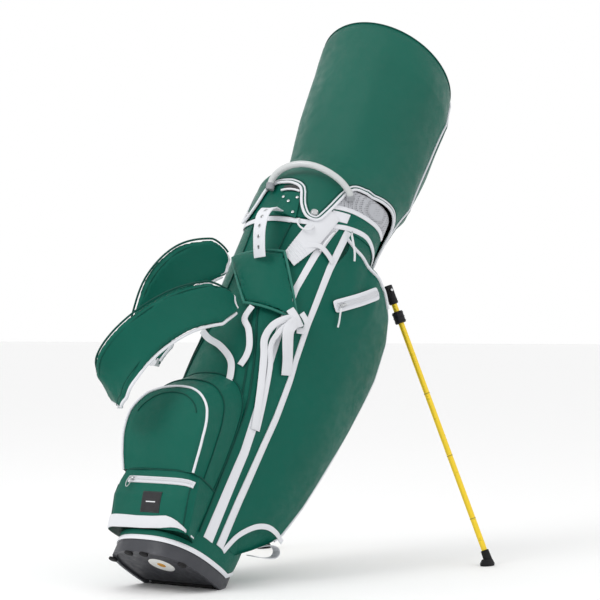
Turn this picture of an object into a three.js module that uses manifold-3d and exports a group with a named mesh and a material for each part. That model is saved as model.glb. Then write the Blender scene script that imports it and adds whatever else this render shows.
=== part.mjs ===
// Golf stand bag, standing on its floor flap and two splayed legs.
//
// The bag is laid out upright in its own axes and then leaned as one group:
//   x  towards the legs (negative x is the ball pocket side)
//   y  across the bag (negative y is the near side)
//   z  up along the bag's own axis, from the underside of the base
// Angles round the bag start at the leg side (+x) and turn towards +y.
import * as THREE from 'three';
import { mergeVertices } from 'three/addons/utils/BufferGeometryUtils.js';
import Module from 'manifold-3d';

const wasm = await Module();
wasm.setup();

// Driving dimensions, in millimetres and degrees
const LEAN = 35.3;                 // the bag's lean from upright while the stand is open
const UNDERSIDE_TILT = 4.8;        // the underside leans towards the hinge line
const HINGE_X = 50;                // hinge line of the floor flap
const BASE = { halfX: 108, halfY: 101, power: 2.7 };
const BODY_FOOT = { z: 66, halfX: 111, halfY: 103, power: 2.5 };
const BODY_HEAD = { z: 813, halfX: 135, halfY: 136, power: 2.1 };
const WALL = 4;                    // leatherette over foam
const GAP = 0.35;                  // clearance between touching pieces
const RIM_HEIGHT = 26;             // moulded rim of the base
const BAND_HEIGHT = 9;             // white trim band above the rim
const SPIGOT_HEIGHT = 34;          // the part of the base inside the body tube
const FLAP_THICKNESS = 7;
const CUFF_SLOPE = 0.24;           // the cuff is higher at the leg side
const CUFF_HEIGHT = 92;
const CUFF_PROUD = 3;
const CUFF_THICKNESS = 8;
const DIVIDER_X = 42;
const DIVIDER_THICKNESS = 5;
const DIVIDER_DEPTH = 190;
const STAY_RADIUS = 3;
const LEG_PIVOT = [190, -98, 822];
const LEG_FOOT = [588, -300, 395.2];
const LEG_STOWED = [150, -58];     // x and y of a foot with the legs folded
const LEG_RADIUS = 6.25;
const LEG_CAP_RADIUS = 10;
const LEG_CLAMP_RADIUS = 12;
const ROD_RADIUS = 2.5;
const PIN_RADIUS = 1.6;
const BARREL_RADIUS = 4.2;
const HOOD_WALL = 2.2;
const HOOD_TOP = 1311;
const HOOD_TILT = 0.152;           // the top is higher at the front, as rise over run
// the side pocket's zip lies on an arc through these three points
const SIDE_ZIP = { low: [-10, -143, 635], middle: [39, -157.5, 688.5], high: [88, -156.5, 742], width: 24 };

const COLOURS = {
  green: new THREE.MeshStandardMaterial({ color: 0x00584a, roughness: 0.45 }),
  white: new THREE.MeshStandardMaterial({ color: 0xeceef0, roughness: 0.55 }),
  mesh: new THREE.MeshStandardMaterial({ color: 0xb9bdc2, roughness: 0.8 }),
  base: new THREE.MeshStandardMaterial({ color: 0x3b3c42, roughness: 0.5 }),
  black: new THREE.MeshStandardMaterial({ color: 0x141416, roughness: 0.5 }),
  yellow: new THREE.MeshStandardMaterial({ color: 0xf2cb1a, roughness: 0.3, metalness: 0.2 }),
  tube: new THREE.MeshStandardMaterial({ color: 0xc3c9c7, roughness: 0.35 }),
  steel: new THREE.MeshStandardMaterial({ color: 0x9a9da1, roughness: 0.3, metalness: 1 }),
  lining: new THREE.MeshStandardMaterial({ color: 0x2b2d30, roughness: 0.9 }),
};

const rad = THREE.MathUtils.degToRad;
const lerp = THREE.MathUtils.lerp;
const vec = (x, y, z) => new THREE.Vector3(x, y, z);
const range = (count) => Array.from({ length: count }, (_, i) => i);

const golfBag = new THREE.Group();
const bag = new THREE.Group();     // everything, in the bag's own axes
golfBag.add(bag);

function add(name, geometry, material) {
  const mesh = new THREE.Mesh(geometry, material);
  mesh.name = name;
  bag.add(mesh);
  return mesh;
}

// A value read off a list of [position, value] knots, straight between them
function knots(list, at) {
  const last = list.length - 1;
  if (at <= list[0][0]) return list[0][1];
  if (at >= list[last][0]) return list[last][1];
  const i = list.findIndex((knot) => knot[0] > at);
  const [a, b] = [list[i - 1], list[i]];
  return lerp(a[1], b[1], (at - a[0]) / (b[0] - a[0]));
}

// ---- closed meshes from rows of points ----

function geometryOf(points, triangles) {
  const geometry = new THREE.BufferGeometry();
  geometry.setAttribute('position', new THREE.Float32BufferAttribute(points.flatMap((p) => [p.x, p.y, p.z]), 3));
  geometry.setIndex(triangles.flat());
  return geometry;
}

// Skin over rings of equal length, each ring seen anticlockwise from the next one's side
function loft(rings) {
  const count = rings[0].length;
  const points = rings.flat();
  const triangles = [];
  for (let r = 0; r < rings.length - 1; r++) {
    for (let i = 0; i < count; i++) {
      const j = (i + 1) % count;
      const [a, b, c, d] = [r * count + i, r * count + j, (r + 1) * count + j, (r + 1) * count + i];
      triangles.push([a, b, c], [a, c, d]);
    }
  }
  const cap = (ring, start, flip) => {
    const normal = vec(0, 0, 0);
    ring.forEach((p, i) => normal.add(vec(0, 0, 0).crossVectors(p, ring[(i + 1) % count])));
    normal.normalize();
    const side = Math.abs(normal.z) > 0.9 ? vec(1, 0, 0) : vec(0, 0, 1);
    const u = vec(0, 0, 0).crossVectors(side, normal).normalize();
    const v = vec(0, 0, 0).crossVectors(normal, u);
    const flat = ring.map((p) => new THREE.Vector2(p.dot(u), p.dot(v)));
    for (const [a, b, c] of THREE.ShapeUtils.triangulateShape(flat, [])) {
      triangles.push(flip ? [start + c, start + b, start + a] : [start + a, start + b, start + c]);
    }
  };
  cap(rings[0], 0, true);
  cap(rings[rings.length - 1], (rings.length - 1) * count, false);
  return geometryOf(points, triangles);
}

// A wall between two skins that run through the same rows: open at both ends
function sleeve(outer, inner) {
  const count = outer[0].length;
  const rows = outer.length;
  const points = [...outer.flat(), ...inner.flat()];
  const shift = rows * count;
  const triangles = [];
  for (let i = 0; i < count; i++) {
    const j = (i + 1) % count;
    for (let r = 0; r < rows - 1; r++) {
      const [a, b, c, d] = [r * count + i, r * count + j, (r + 1) * count + j, (r + 1) * count + i];
      triangles.push([a, b, c], [a, c, d]);
      triangles.push([a + shift, c + shift, b + shift], [a + shift, d + shift, c + shift]);
    }
    const top = (rows - 1) * count;
    triangles.push([i, j + shift, j], [i, i + shift, j + shift]);
    triangles.push([top + i, top + j, top + j + shift], [top + i, top + j + shift, top + i + shift]);
  }
  return geometryOf(points, triangles);
}

// ---- joins and cuts ----

function solid(geometry) {
  const clean = geometry.clone();
  clean.deleteAttribute('normal');
  clean.deleteAttribute('uv');
  const merged = mergeVertices(clean, 1e-4);
  return new wasm.Manifold(new wasm.Mesh({
    numProp: 3,
    vertProperties: new Float32Array(merged.attributes.position.array),
    triVerts: new Uint32Array(merged.index.array),
  }));
}

function fromSolid(shape) {
  const mesh = shape.getMesh();
  const geometry = new THREE.BufferGeometry();
  geometry.setAttribute('position', new THREE.BufferAttribute(new Float32Array(mesh.vertProperties), 3));
  geometry.setIndex(new THREE.BufferAttribute(new Uint32Array(mesh.triVerts), 1));
  return geometry;
}

const join = (first, ...others) => fromSolid(others.reduce((sum, g) => sum.add(solid(g)), solid(first)));
const meet = (first, second) => fromSolid(solid(first).intersect(solid(second)));
const cut = (first, ...others) => fromSolid(others.reduce((left, g) => left.subtract(solid(g)), solid(first)));

// ---- simple shapes, placed ----

function box(low, high) {
  const geometry = new THREE.BoxGeometry(high[0] - low[0], high[1] - low[1], high[2] - low[2]);
  return geometry.translate((low[0] + high[0]) / 2, (low[1] + high[1]) / 2, (low[2] + high[2]) / 2);
}

// A round bar from one point to another
function bar(from, to, radius, sides = 12, endRadius = radius) {
  const along = to.clone().sub(from);
  const geometry = new THREE.CylinderGeometry(endRadius, radius, along.length(), sides);
  geometry.applyQuaternion(new THREE.Quaternion().setFromUnitVectors(vec(0, 1, 0), along.clone().normalize()));
  const middle = from.clone().addScaledVector(along, 0.5);
  return geometry.translate(middle.x, middle.y, middle.z);
}

// A flat strap: its middle line, the direction of its width at each point, its widths and its thickness
function strap(points, widthways, width, thickness) {
  const middle = new THREE.CatmullRomCurve3(points, false, 'centripetal');
  const across = new THREE.CatmullRomCurve3(widthways, false, 'centripetal');
  const steps = Math.max(8, points.length * 3);
  const rings = range(steps + 1).map((i) => {
    const t = i / steps;
    const centre = middle.getPoint(t);
    const tangent = middle.getTangent(t);
    const w = across.getPoint(t);
    w.addScaledVector(tangent, -w.dot(tangent)).normalize();
    const n = vec(0, 0, 0).crossVectors(tangent, w).normalize();
    const half = (typeof width === 'function' ? width(t) : width) / 2;
    const t2 = thickness / 2;
    const corner = (a, b) => centre.clone().addScaledVector(w, a).addScaledVector(n, b);
    const edge = Math.min(thickness * 0.4, half * 0.3);
    return [corner(half - edge, -t2), corner(half, 0), corner(half - edge, t2),
      corner(edge - half, t2), corner(-half, 0), corner(edge - half, -t2)];
  });
  return loft(rings);
}

// ---- outlines of the bag, at a height and an angle ----

function section(z) {
  const k = Math.min(1, Math.max(0, (z - BODY_FOOT.z) / (BODY_HEAD.z - BODY_FOOT.z)));
  if (z >= BODY_FOOT.z) {
    return {
      halfX: lerp(BODY_FOOT.halfX, BODY_HEAD.halfX, k),
      halfY: lerp(BODY_FOOT.halfY, BODY_HEAD.halfY, k),
      power: lerp(BODY_FOOT.power, BODY_HEAD.power, k),
    };
  }
  const low = Math.max(0, z / BODY_FOOT.z);
  return {
    halfX: lerp(BASE.halfX, BODY_FOOT.halfX, low),
    halfY: lerp(BASE.halfY, BODY_FOOT.halfY, low),
    power: lerp(BASE.power, BODY_FOOT.power, low),
  };
}

function wallPoint(z, angle, offset = 0) {
  const { halfX, halfY, power } = section(z);
  const [c, s] = [Math.cos(rad(angle)), Math.sin(rad(angle))];
  const r = (Math.abs(c / (halfX + offset)) ** power + Math.abs(s / (halfY + offset)) ** power) ** (-1 / power);
  return vec(c * r, s * r, z);
}

// The edge of the base: the tilted underside, then the facet that lies along the floor
const floorZ = (x) => (x * Math.sin(rad(LEAN)) - HINGE_X * Math.sin(rad(LEAN))) / Math.cos(rad(LEAN))
  + HINGE_X * Math.tan(rad(UNDERSIDE_TILT));
const baseZ = (x) => Math.max(x * Math.tan(rad(UNDERSIDE_TILT)), floorZ(x));
const hingePoint = vec(HINGE_X, 0, baseZ(HINGE_X));

const WALL_SIDES = 40;
const angles = range(WALL_SIDES).map((i) => (i * 360) / WALL_SIDES);

// A ring on the bag's wall whose height follows the base's edge or the cuff's slope
function ring(heightAt, offset) {
  return angles.map((angle) => {
    let point = wallPoint(BODY_FOOT.z, angle, offset);
    for (let pass = 0; pass < 3; pass++) point = wallPoint(heightAt(point.x), angle, offset);
    return point;
  });
}

const level = (z) => () => z;
const aboveBase = (height) => (x) => baseZ(x) + height;
const cuffFoot = (x) => BODY_HEAD.z + CUFF_SLOPE * x;
const cuffHead = (x) => BODY_HEAD.z + CUFF_HEIGHT + CUFF_SLOPE * x;

// ---- base: moulded cup with its rim, the flap that lies on the floor, and the hinge pin ----

const RIM_WALL = 7;
const RECESS = 5;                  // the underside stands in from the rim's edge
const FLOOR_THICKNESS = 4;
const FLAP_CLEARANCE = 2;
const FLAP_SWING_ROOM = 5.5;       // the flap's end moves outwards as it leaves the rim
const padFoot = RECESS + FLAP_THICKNESS + FLOOR_THICKNESS + 5;
const PAD_THICKNESS = 6;

// Everything above the base's edge, raised by a height: flat underside, then the facet along the floor
function above(height) {
  const side = (y) => [vec(-200, y, baseZ(-200) + height), vec(HINGE_X, y, baseZ(HINGE_X) + height),
    vec(300, y, baseZ(300) + height), vec(300, y, 1400), vec(-200, y, 1400)];
  return loft([side(200), side(-200)]);
}

const column = (offset) => loft([-60, 0, 66, 180].map((z) => ring(level(z), offset)));
const slab = (offset, from, to) => cut(meet(column(offset), above(from)), above(to));
const rimSolid = slab(0, 0, RIM_HEIGHT);
const spigotSolid = slab(-WALL - 1, RIM_HEIGHT - 1, RIM_HEIGHT + SPIGOT_HEIGHT);
const cupHollow = meet(column(-WALL - 5), above(padFoot));
const underRecess = slab(-RIM_WALL, -5, RECESS);
const flapRoom = cut(slab(-RIM_WALL, -5, FLAP_THICKNESS * 1.25 + FLAP_CLEARANCE),
  box([-200, -200, -100], [HINGE_X - 8, 200, 200]));
const lugRoom = box([85, -10, 20], [140, 10, 75]);
add('base_cup', cut(join(rimSolid, spigotSolid), cupHollow, underRecess, flapRoom, lugRoom), COLOURS.base);
add('base_pad', slab(-WALL - 7, padFoot + GAP, padFoot + PAD_THICKNESS), COLOURS.lining);

// The flap fills the facet inside the rim, turns on a barrel along the hinge line, and lifts the rod by its lug
const barrelAxis = (y) => vec(HINGE_X + 1, y, hingePoint.z + BARREL_RADIUS + 2);
const aboveFloor = (height) => {
  const side = (y) => [vec(-200, y, floorZ(-200) + height), vec(300, y, floorZ(300) + height), vec(300, y, 1400),
    vec(-200, y, 1400)];
  return loft([side(300), side(-300)]);
};
const flapOutline = column(-RIM_WALL - 1).translate(-FLAP_SWING_ROOM, 0, 0);
const flapPlate = cut(meet(flapOutline, aboveFloor(0)), aboveFloor(FLAP_THICKNESS * 1.2),
  box([-200, -200, -200], [HINGE_X + 4, 200, 200]));
const barrel = bar(barrelAxis(-78), barrelAxis(78), BARREL_RADIUS);
const lug = cut(meet(box([88, -7, -50], [128, 7, 150]), aboveFloor(1)), aboveFloor(8));
add('floor_flap', cut(join(flapPlate, barrel, lug), bar(barrelAxis(-90), barrelAxis(90), PIN_RADIUS + 0.3)),
  COLOURS.black);
add('flap_hinge_pin', bar(barrelAxis(-86), barrelAxis(86), PIN_RADIUS), COLOURS.steel);

// ---- body: trim band, leatherette tube, and the stays that hold it up ----

const bandFoot = aboveBase(RIM_HEIGHT + GAP);
const bandHead = aboveBase(RIM_HEIGHT + BAND_HEIGHT);
add('base_trim_band', sleeve([ring(bandFoot, 1.2), ring(bandHead, 1.2)],
  [ring(bandFoot, 1 - WALL), ring(bandHead, 1 - WALL)]), COLOURS.white);

const bodyFoot = aboveBase(RIM_HEIGHT + BAND_HEIGHT + GAP);
const bodyHead = (x) => cuffFoot(x) - GAP;
const bodyRows = [bodyFoot, ...[0.33, 0.66].map((t) => (x) => lerp(bodyFoot(x), bodyHead(x), t)), bodyHead];
add('body_tube', sleeve(bodyRows.map((row) => ring(row, 0)), bodyRows.map((row) => ring(row, -WALL))), COLOURS.green);

const stayAt = (angle, from, to) => bar(wallPoint(from, angle, -WALL - STAY_RADIUS - 1.5),
  wallPoint(to, angle, -WALL - STAY_RADIUS - 1.5), STAY_RADIUS, 8);
add('spine_stay_front', stayAt(180, 62, 765), COLOURS.steel);
add('spine_stay_near', stayAt(-62, 108, 815), COLOURS.steel);
add('spine_stay_far', stayAt(62, 108, 815), COLOURS.steel);

// ---- mouth: the collar, the moulded frame in it, and the cloth dividers that hang from the frame ----

add('top_cuff', sleeve([ring(cuffFoot, CUFF_PROUD), ring(cuffHead, CUFF_PROUD)],
  [ring(cuffFoot, CUFF_PROUD - CUFF_THICKNESS), ring(cuffHead, CUFF_PROUD - CUFF_THICKNESS)]), COLOURS.green);

const FRAME_OFFSET = CUFF_PROUD - CUFF_THICKNESS - 0.8;
const FRAME_DEPTH = 36;
const frameFoot = (x) => cuffHead(x) - FRAME_DEPTH;
const frameHead = (x) => cuffHead(x) - 2;
const frameRing = sleeve([ring(frameFoot, FRAME_OFFSET), ring(frameHead, FRAME_OFFSET)],
  [ring(frameFoot, FRAME_OFFSET - 8), ring(frameHead, FRAME_OFFSET - 8)]);
const slopeBox = (lowX, highX, lowY, highY, foot, head) => loft([
  [vec(lowX, lowY, foot(lowX)), vec(highX, lowY, foot(highX)), vec(highX, highY, foot(highX)),
    vec(lowX, highY, foot(lowX))],
  [vec(lowX, lowY, head(lowX)), vec(highX, lowY, head(highX)), vec(highX, highY, head(highX)),
    vec(lowX, highY, head(lowX))]]);
const crossReach = wallPoint(BODY_HEAD.z, 72, FRAME_OFFSET - 4).y;
const barFoot = (x) => frameFoot(x) + 2;
const barHead = (x) => frameHead(x) - 2;
add('mouth_frame', join(frameRing,
  ...[-DIVIDER_X, DIVIDER_X].map((x) => slopeBox(x - 6, x + 6, -crossReach, crossReach, barFoot, barHead)),
  slopeBox(-125, 125, -5, 5, (x) => barFoot(x) + 1, (x) => barHead(x) - 1)), COLOURS.black);

const clothHead = (x) => frameFoot(x) - GAP;
const clothFoot = () => BODY_HEAD.z + CUFF_HEIGHT - FRAME_DEPTH - DIVIDER_DEPTH;
const reach = 112;
const half = DIVIDER_THICKNESS / 2;
for (const [name, x] of [['front', -DIVIDER_X], ['rear', DIVIDER_X]]) {
  add(`divider_cloth_${name}`, slopeBox(x - half, x + half, -reach, reach, clothFoot, clothHead), COLOURS.lining);
}
const spans = [['front', 4 - reach, -DIVIDER_X - half - GAP], ['middle', -DIVIDER_X + half + GAP,
  DIVIDER_X - half - GAP], ['rear', DIVIDER_X + half + GAP, reach - 4]];
for (const [name, low, high] of spans) {
  add(`divider_cloth_centre_${name}`, slopeBox(low, high, -half, half, clothFoot, clothHead), COLOURS.lining);
}

// ---- apparel pockets: one long padded pocket on each side, with a welted zip ----

// reach of the pocket's back edge towards the legs, and how far its skin stands off the wall, by height
const POCKET_EDGE = [[78, 44], [110, 80], [153, 122], [175, 138], [261, 162], [357, 181], [462, 197], [539, 206],
  [605, 211], [686, 196], [735, 171], [766, 140], [784, 70]];
const POCKET_BULGE = [[78, 3], [153, 15], [261, 28], [400, 36], [560, 38], [686, 32], [740, 22], [784, 4]];
const POCKET_ROWS = [80, 100, 126, 153, 175, 215, 261, 310, 357, 410, 462, 539, 605, 646, 686, 712, 735, 752, 766, 778];
const POCKET_START = 102;          // the pocket's front seam, as an angle round the wall
const legRoom = (z) => knots([[185, 80], [800, 108]], z);

function pocketSkin(z) {
  const bulge = knots(POCKET_BULGE, z);
  const edge = knots(POCKET_EDGE, z);
  const side = section(z).halfY;
  const far = vec(edge, Math.max(legRoom(z) + 6, side + bulge * 0.35 - Math.max(0, edge - 150) * 0.1), z);
  const shoulder = Math.min(edge * 0.55, 95);
  return new THREE.CatmullRomCurve3([
    wallPoint(z, POCKET_START, -6),
    wallPoint(z, POCKET_START - 5, 2),
    vec(4, side + 2 + bulge * 0.4, z),
    vec(shoulder * 0.55, side + 1 + bulge * 0.74, z),
    vec(shoulder, side + bulge * 0.92, z),
    vec(lerp(shoulder, edge, 0.72), lerp(side + bulge, far.y, 0.55), z),
    far,
  ], false, 'centripetal');
}

function pocketRing(z) {
  const skin = pocketSkin(z).getPoints(12);
  const far = skin[skin.length - 1];
  const inner = legRoom(z);
  return [...skin, vec(far.x - 4, Math.max(inner + 3, far.y - 7), z), vec(far.x - 38, inner, z), vec(0, inner, z)];
}

// The space that the tube and the cuff fill, with clearance, to cut pockets and pads to their shape
const wallRows = [aboveBase(5), ...[0.25, 0.5, 0.75].map((t) => level(lerp(BODY_FOOT.z, BODY_HEAD.z, t))),
  cuffFoot, (x) => cuffHead(x) + 10];
const bodyCore = loft(wallRows.map((row) => ring(row, GAP)));

const farPocket = cut(loft(POCKET_ROWS.map((z) => pocketRing(z).reverse())), bodyCore,
  loft([ring((x) => cuffFoot(x) - GAP, CUFF_PROUD + GAP), ring((x) => cuffHead(x), CUFF_PROUD + GAP)]));

function mirrored(geometry) {
  return fromSolid(solid(geometry).mirror([0, 1, 0]));
}

add('side_pocket_near', mirrored(farPocket), COLOURS.green);
add('side_pocket_far', farPocket, COLOURS.green);


// ---- front pockets: a flat accessory pocket below, and the round ball pocket above it ----

// A pocket whose front face stands at x = -front(z), with round corners and straight sides back to the wall
function frontPocket(rows, front, halfWidth) {
  const rings = rows.map((z) => {
    const f = knots(front, z);
    const w = knots(halfWidth, z);
    const corner = Math.min(24, w * 0.5);
    const arc = range(5).map((i) => rad(90 + i * 22.5));
    const left = arc.map((a) => vec(corner - f + corner * Math.cos(a), w - corner + corner * Math.sin(a), z));
    const crown = [vec(-f - 3, w * 0.33, z), vec(-f - 3, -w * 0.33, z)];
    const right = left.map((q) => vec(q.x, -q.y, z)).reverse();
    return [vec(-58, w, z), ...left, ...crown, ...right, vec(-58, -w, z)];
  });
  return cut(loft(rings), bodyCore);
}

const LOWER_POCKET_FRONT = [[38, 113], [62, 121], [98, 135], [128, 140], [144, 139]];
const LOWER_POCKET_HALF = [[38, 86], [60, 90], [144, 90]];
add('lower_pocket', frontPocket([38, 62, 98, 128, 144], LOWER_POCKET_FRONT, LOWER_POCKET_HALF), COLOURS.green);

const BALL_POCKET_FRONT = [[145, 140], [175, 156], [215, 172], [260, 184], [300, 190], [322, 184], [342, 158],
  [356, 124]];
const BALL_POCKET_HALF = [[145, 84], [260, 86], [300, 82], [322, 72], [342, 60], [356, 50]];
add('ball_pocket', frontPocket(BALL_POCKET_FRONT.map((knot) => knot[0]), BALL_POCKET_FRONT, BALL_POCKET_HALF),
  COLOURS.green);

// A flat piece sewn on a front pocket's face
function facePanel(front, [lowZ, highZ], [lowY, highY], thickness, stand = GAP) {
  const heights = [lowZ, ...front.map((knot) => knot[0]).filter((z) => z > lowZ && z < highZ), highZ];
  return loft(heights.map((z) => {
    const x = -knots(front, z) - 3 - stand;
    return [vec(x - thickness, lowY, z), vec(x, lowY, z), vec(x, highY, z), vec(x - thickness, highY, z)];
  }));
}

add('lower_pocket_zip', facePanel(LOWER_POCKET_FRONT, [121, 136], [-78, 62], 3), COLOURS.white);
add('lower_zip_slider', join(facePanel(LOWER_POCKET_FRONT, [125, 133], [46, 57], 4, 3 + 2 * GAP),
  facePanel(LOWER_POCKET_FRONT, [106, 130], [49, 54], 1.6, 5)), COLOURS.steel);
add('blank_patch', facePanel(LOWER_POCKET_FRONT, [70, 112], [-32, 16], 1.2), COLOURS.black);
add('lower_pocket_band', facePanel(LOWER_POCKET_FRONT, [39, 61], [-66, 66], 1.6), COLOURS.white);

// ---- rain hood: a stiff leatherette cap over the mouth, with a scalloped hem ----

// The hood hugs the cuff, then slumps towards the legs: centre and radius by height above the cuff
const HOOD_SLUMP = [[980, 40], [1220, 30], [HOOD_TOP, 22]];
const HOOD_SWAY = [[980, -10], [1220, -6], [HOOD_TOP, 4]];
const HOOD_RADIUS = [[980, 141], [1100, 151], [1220, 157], [1284, 157], [1300, 153], [1307, 142], [1310, 112],
  [HOOD_TOP, 12]];
const HOOD_FLARE_Z = 826;          // where it flares out of its hem, it starts here
const HOOD_FREE_Z = 980;           // the hood is clear of the cuff from here up
const HOOD_FIT = CUFF_PROUD + GAP + HOOD_WALL + 1;
const HEM = [[0, 822], [46, 824], [52, 880], [60, 908], [76, 922], [92, 918], [108, 903], [122, 886], [132, 818],
  [138, 786], [148, 786], [156, 812], [162, 850], [172, 862], [180, 863]];
const hemAt = (angle) => knots(HEM, Math.abs(((angle + 180) % 360) - 180));
const clearZ = (angle) => Math.max(cuffHead(wallPoint(BODY_HEAD.z, angle, CUFF_PROUD).x) + 5, hemAt(angle) + 8);

function hoodPoint(z, angle, inset) {
  const low = wallPoint(BODY_HEAD.z, angle, HOOD_FIT - inset);
  const free = Math.max(z, HOOD_FREE_Z);
  const r = knots(HOOD_RADIUS, free) - inset;
  const high = vec(knots(HOOD_SLUMP, free) + r * Math.cos(rad(angle)),
    knots(HOOD_SWAY, free) + r * Math.sin(rad(angle)), z);
  const flares = Math.hypot(high.x, high.y) > Math.hypot(low.x, low.y) + 1;
  const t = flares ? THREE.MathUtils.clamp((z - HOOD_FLARE_Z) / (HOOD_FREE_Z - HOOD_FLARE_Z), 0, 1)
    : THREE.MathUtils.smoothstep(z, clearZ(angle), HOOD_FREE_Z);
  return low.lerp(high, t).setZ(z);
}

const HOOD_SIDES = 40;
const hoodRows = [hemAt, clearZ, ...[0.35, 0.7].map((t) => (angle) => lerp(clearZ(angle), HOOD_FREE_Z, t))]
  .concat(HOOD_RADIUS.map((knot) => () => knot[0]));
const hoodSkin = (inset) => hoodRows.map((row) => range(HOOD_SIDES).map((i) => {
  const angle = (i * 360) / HOOD_SIDES;
  const point = hoodPoint(row(angle), angle, inset);
  const drop = HOOD_TILT * THREE.MathUtils.smoothstep(row(angle), 1080, 1290) * (point.x - 22);
  return point.setZ(row(angle) - drop - (row(angle) > 1240 ? inset : 0));
}));

// Both skins closed over the top, and joined along the hem
function shell(outer, inner) {
  const count = outer[0].length;
  const rows = outer.length;
  const middle = (line) => line.reduce((sum, q) => sum.add(q), vec(0, 0, 0)).divideScalar(count);
  const points = [...outer.flat(), ...inner.flat(), middle(outer[rows - 1]), middle(inner[rows - 1])];
  const shift = rows * count;
  const top = (rows - 1) * count;
  const triangles = [];
  for (let i = 0; i < count; i++) {
    const j = (i + 1) % count;
    for (let r = 0; r < rows - 1; r++) {
      const [a, b, c, d] = [r * count + i, r * count + j, (r + 1) * count + j, (r + 1) * count + i];
      triangles.push([a, b, c], [a, c, d]);
      triangles.push([a + shift, c + shift, b + shift], [a + shift, d + shift, c + shift]);
    }
    triangles.push([i, j + shift, j], [i, i + shift, j + shift]);
    triangles.push([top + i, top + j, 2 * shift], [top + shift + j, top + shift + i, 2 * shift + 1]);
  }
  return geometryOf(points, triangles);
}
add('rain_hood', shell(hoodSkin(0), hoodSkin(HOOD_WALL)), COLOURS.green);

for (const [name, angle, z] of [['front_near', -143, 800], ['front_far', 143, 800], ['side_near', -62, 852],
  ['side_far', 62, 852]]) {
  const out = vec(Math.cos(rad(angle)), Math.sin(rad(angle)), 0);
  const foot = hoodPoint(z, angle, 0).addScaledVector(out, GAP + 0.3);
  add(`hood_snap_${name}`, bar(foot, foot.clone().addScaledVector(out, 3), 6.5, 12, 5), COLOURS.steel);
}

// ---- carry handle: a tube bent over the cuff, and the mesh grips on the cuff's sides ----

const HANDLE = [[-120, 862, 12], [-124, 872, 19], [-134, 884, 25], [-147, 893, 28], [-160, 897, 29], [-173, 893, 28],
  [-184, 880, 25], [-190, 862, 20], [-191, 842, 13]];
const HANDLE_RADIUS = 7;
const handlePath = new THREE.CatmullRomCurve3(HANDLE.map(([angle, z, off]) => wallPoint(z, angle, off)));
const circle = new THREE.Shape(range(10).map((i) => new THREE.Vector2(HANDLE_RADIUS * Math.cos(rad(i * 36)),
  HANDLE_RADIUS * Math.sin(rad(i * 36)))));
add('carry_handle', new THREE.ExtrudeGeometry(circle, { steps: 26, bevelEnabled: false, extrudePath: handlePath }),
  COLOURS.tube);

// ---- side zips: a welt on an arc over the pocket's skin, and a slider with its pull at the lower end ----

const zipPoints = [SIDE_ZIP.low, SIDE_ZIP.middle, SIDE_ZIP.high].map((q) => vec(...q));
const zipTilt = [vec(-8.5, 4.6, 8.5), vec(-8.5, 2.4, 8.5), vec(-8.5, 2.2, 8.5)];
const welt = strap(zipPoints, zipTilt, SIDE_ZIP.width, 3);
const zipRun = zipPoints[1].clone().sub(zipPoints[0]).normalize();
const zipOut = vec(0, 0, 0).crossVectors(zipRun, zipTilt[0].clone().normalize()).normalize();
const outward = zipOut.y > 0 ? zipOut.negate() : zipOut;
const sliderSeat = zipPoints[0].clone().addScaledVector(zipRun, 14).addScaledVector(outward, 5.8);
const slider = bar(sliderSeat, sliderSeat.clone().addScaledVector(zipRun, 12), 2.4, 8);
const pull = bar(sliderSeat.clone().addScaledVector(outward, 1.5), sliderSeat.clone().addScaledVector(outward, 3)
  .add(vec(14, -1, -20)), 1.6, 8);
const zipPieces = [['side_zip', welt, 'white'], ['side_zip_slider', join(slider, pull), 'white']];
for (const [name, piece, colour] of zipPieces) {
  add(`${name}_near`, piece, COLOURS[colour]);
  add(`${name}_far`, mirrored(piece), COLOURS[colour]);
}

// ---- straps and their hub: webbing from the cuff, the hub pad, two padded shoulder straps ----

// A pad that follows the wall between four corners given as [height, angle], from one offset to another
function wallPatch(corners, inner, outer, across = 6, up = 6) {
  const at = (u, v, offset) => {
    const [low, high] = [corners[0], corners[3]].map((c, i) => c.map((q, k) => lerp(q, corners[i ? 2 : 1][k], u)));
    return wallPoint(lerp(low[0], high[0], v), lerp(low[1], high[1], v), offset);
  };
  const rings = range(up + 1).map((j) => {
    const v = j / up;
    const out = range(across + 1).map((i) => at(i / across, v, outer));
    const back = range(across + 1).map((i) => at(1 - i / across, v, inner));
    return [...out, ...back];
  });
  return loft(rings);
}

add('strap_hub', wallPatch([[555, -169], [553, -121], [689, -153], [673, -204]], 11, 19), COLOURS.green);
add('buckle_strap', wallPatch([[696, -172], [694, -150], [772, -131], [780, -152]], GAP, 3.5, 4, 5), COLOURS.white);

const acrossBag = vec(0, 1, 0);
const beltLine = [[-148, -10, 792], [-176, -18, 770], [-190, -26, 735], [-186, -32, 700], [-172, -36, 672],
  [-159, -38, 655]].map((q) => vec(...q));
add('belt_with_eyelets', strap(beltLine, beltLine.map(() => vec(0.25, 1, 0.2)), 34, 3), COLOURS.white);

const FRONT_STRAP = [[-157, -26, 541], [-205, -22, 507], [-262, -10, 450], [-300, 8, 385], [-318, 28, 322],
  [-312, 48, 275], [-282, 66, 248], [-240, 80, 236]];
const REAR_STRAP = [[-158, 34, 634], [-196, 52, 618], [-230, 74, 580], [-236, 96, 525], [-214, 112, 470],
  [-184, 124, 425], [-150, 130, 390]];
const strapPath = (list) => list.map((q) => vec(...q));
const strapWidth = (t) => 34 + 58 * Math.min(1, Math.sin(Math.PI * Math.min(1, Math.max(0, t))) * 2.2);
add('shoulder_strap_front', strap(strapPath(FRONT_STRAP), FRONT_STRAP.map((q, i) => vec(0.55, -0.35, -0.75 + i * 0.04)),
  strapWidth, 14), COLOURS.green);
add('shoulder_strap_rear', strap(strapPath(REAR_STRAP), REAR_STRAP.map(() => vec(0.7, -0.1, -0.7)),
  strapWidth, 14), COLOURS.green);

// ---- stand: bracket under the cuff, two legs on slanted hinge pins, rod and yoke that the flap lifts ----

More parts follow.
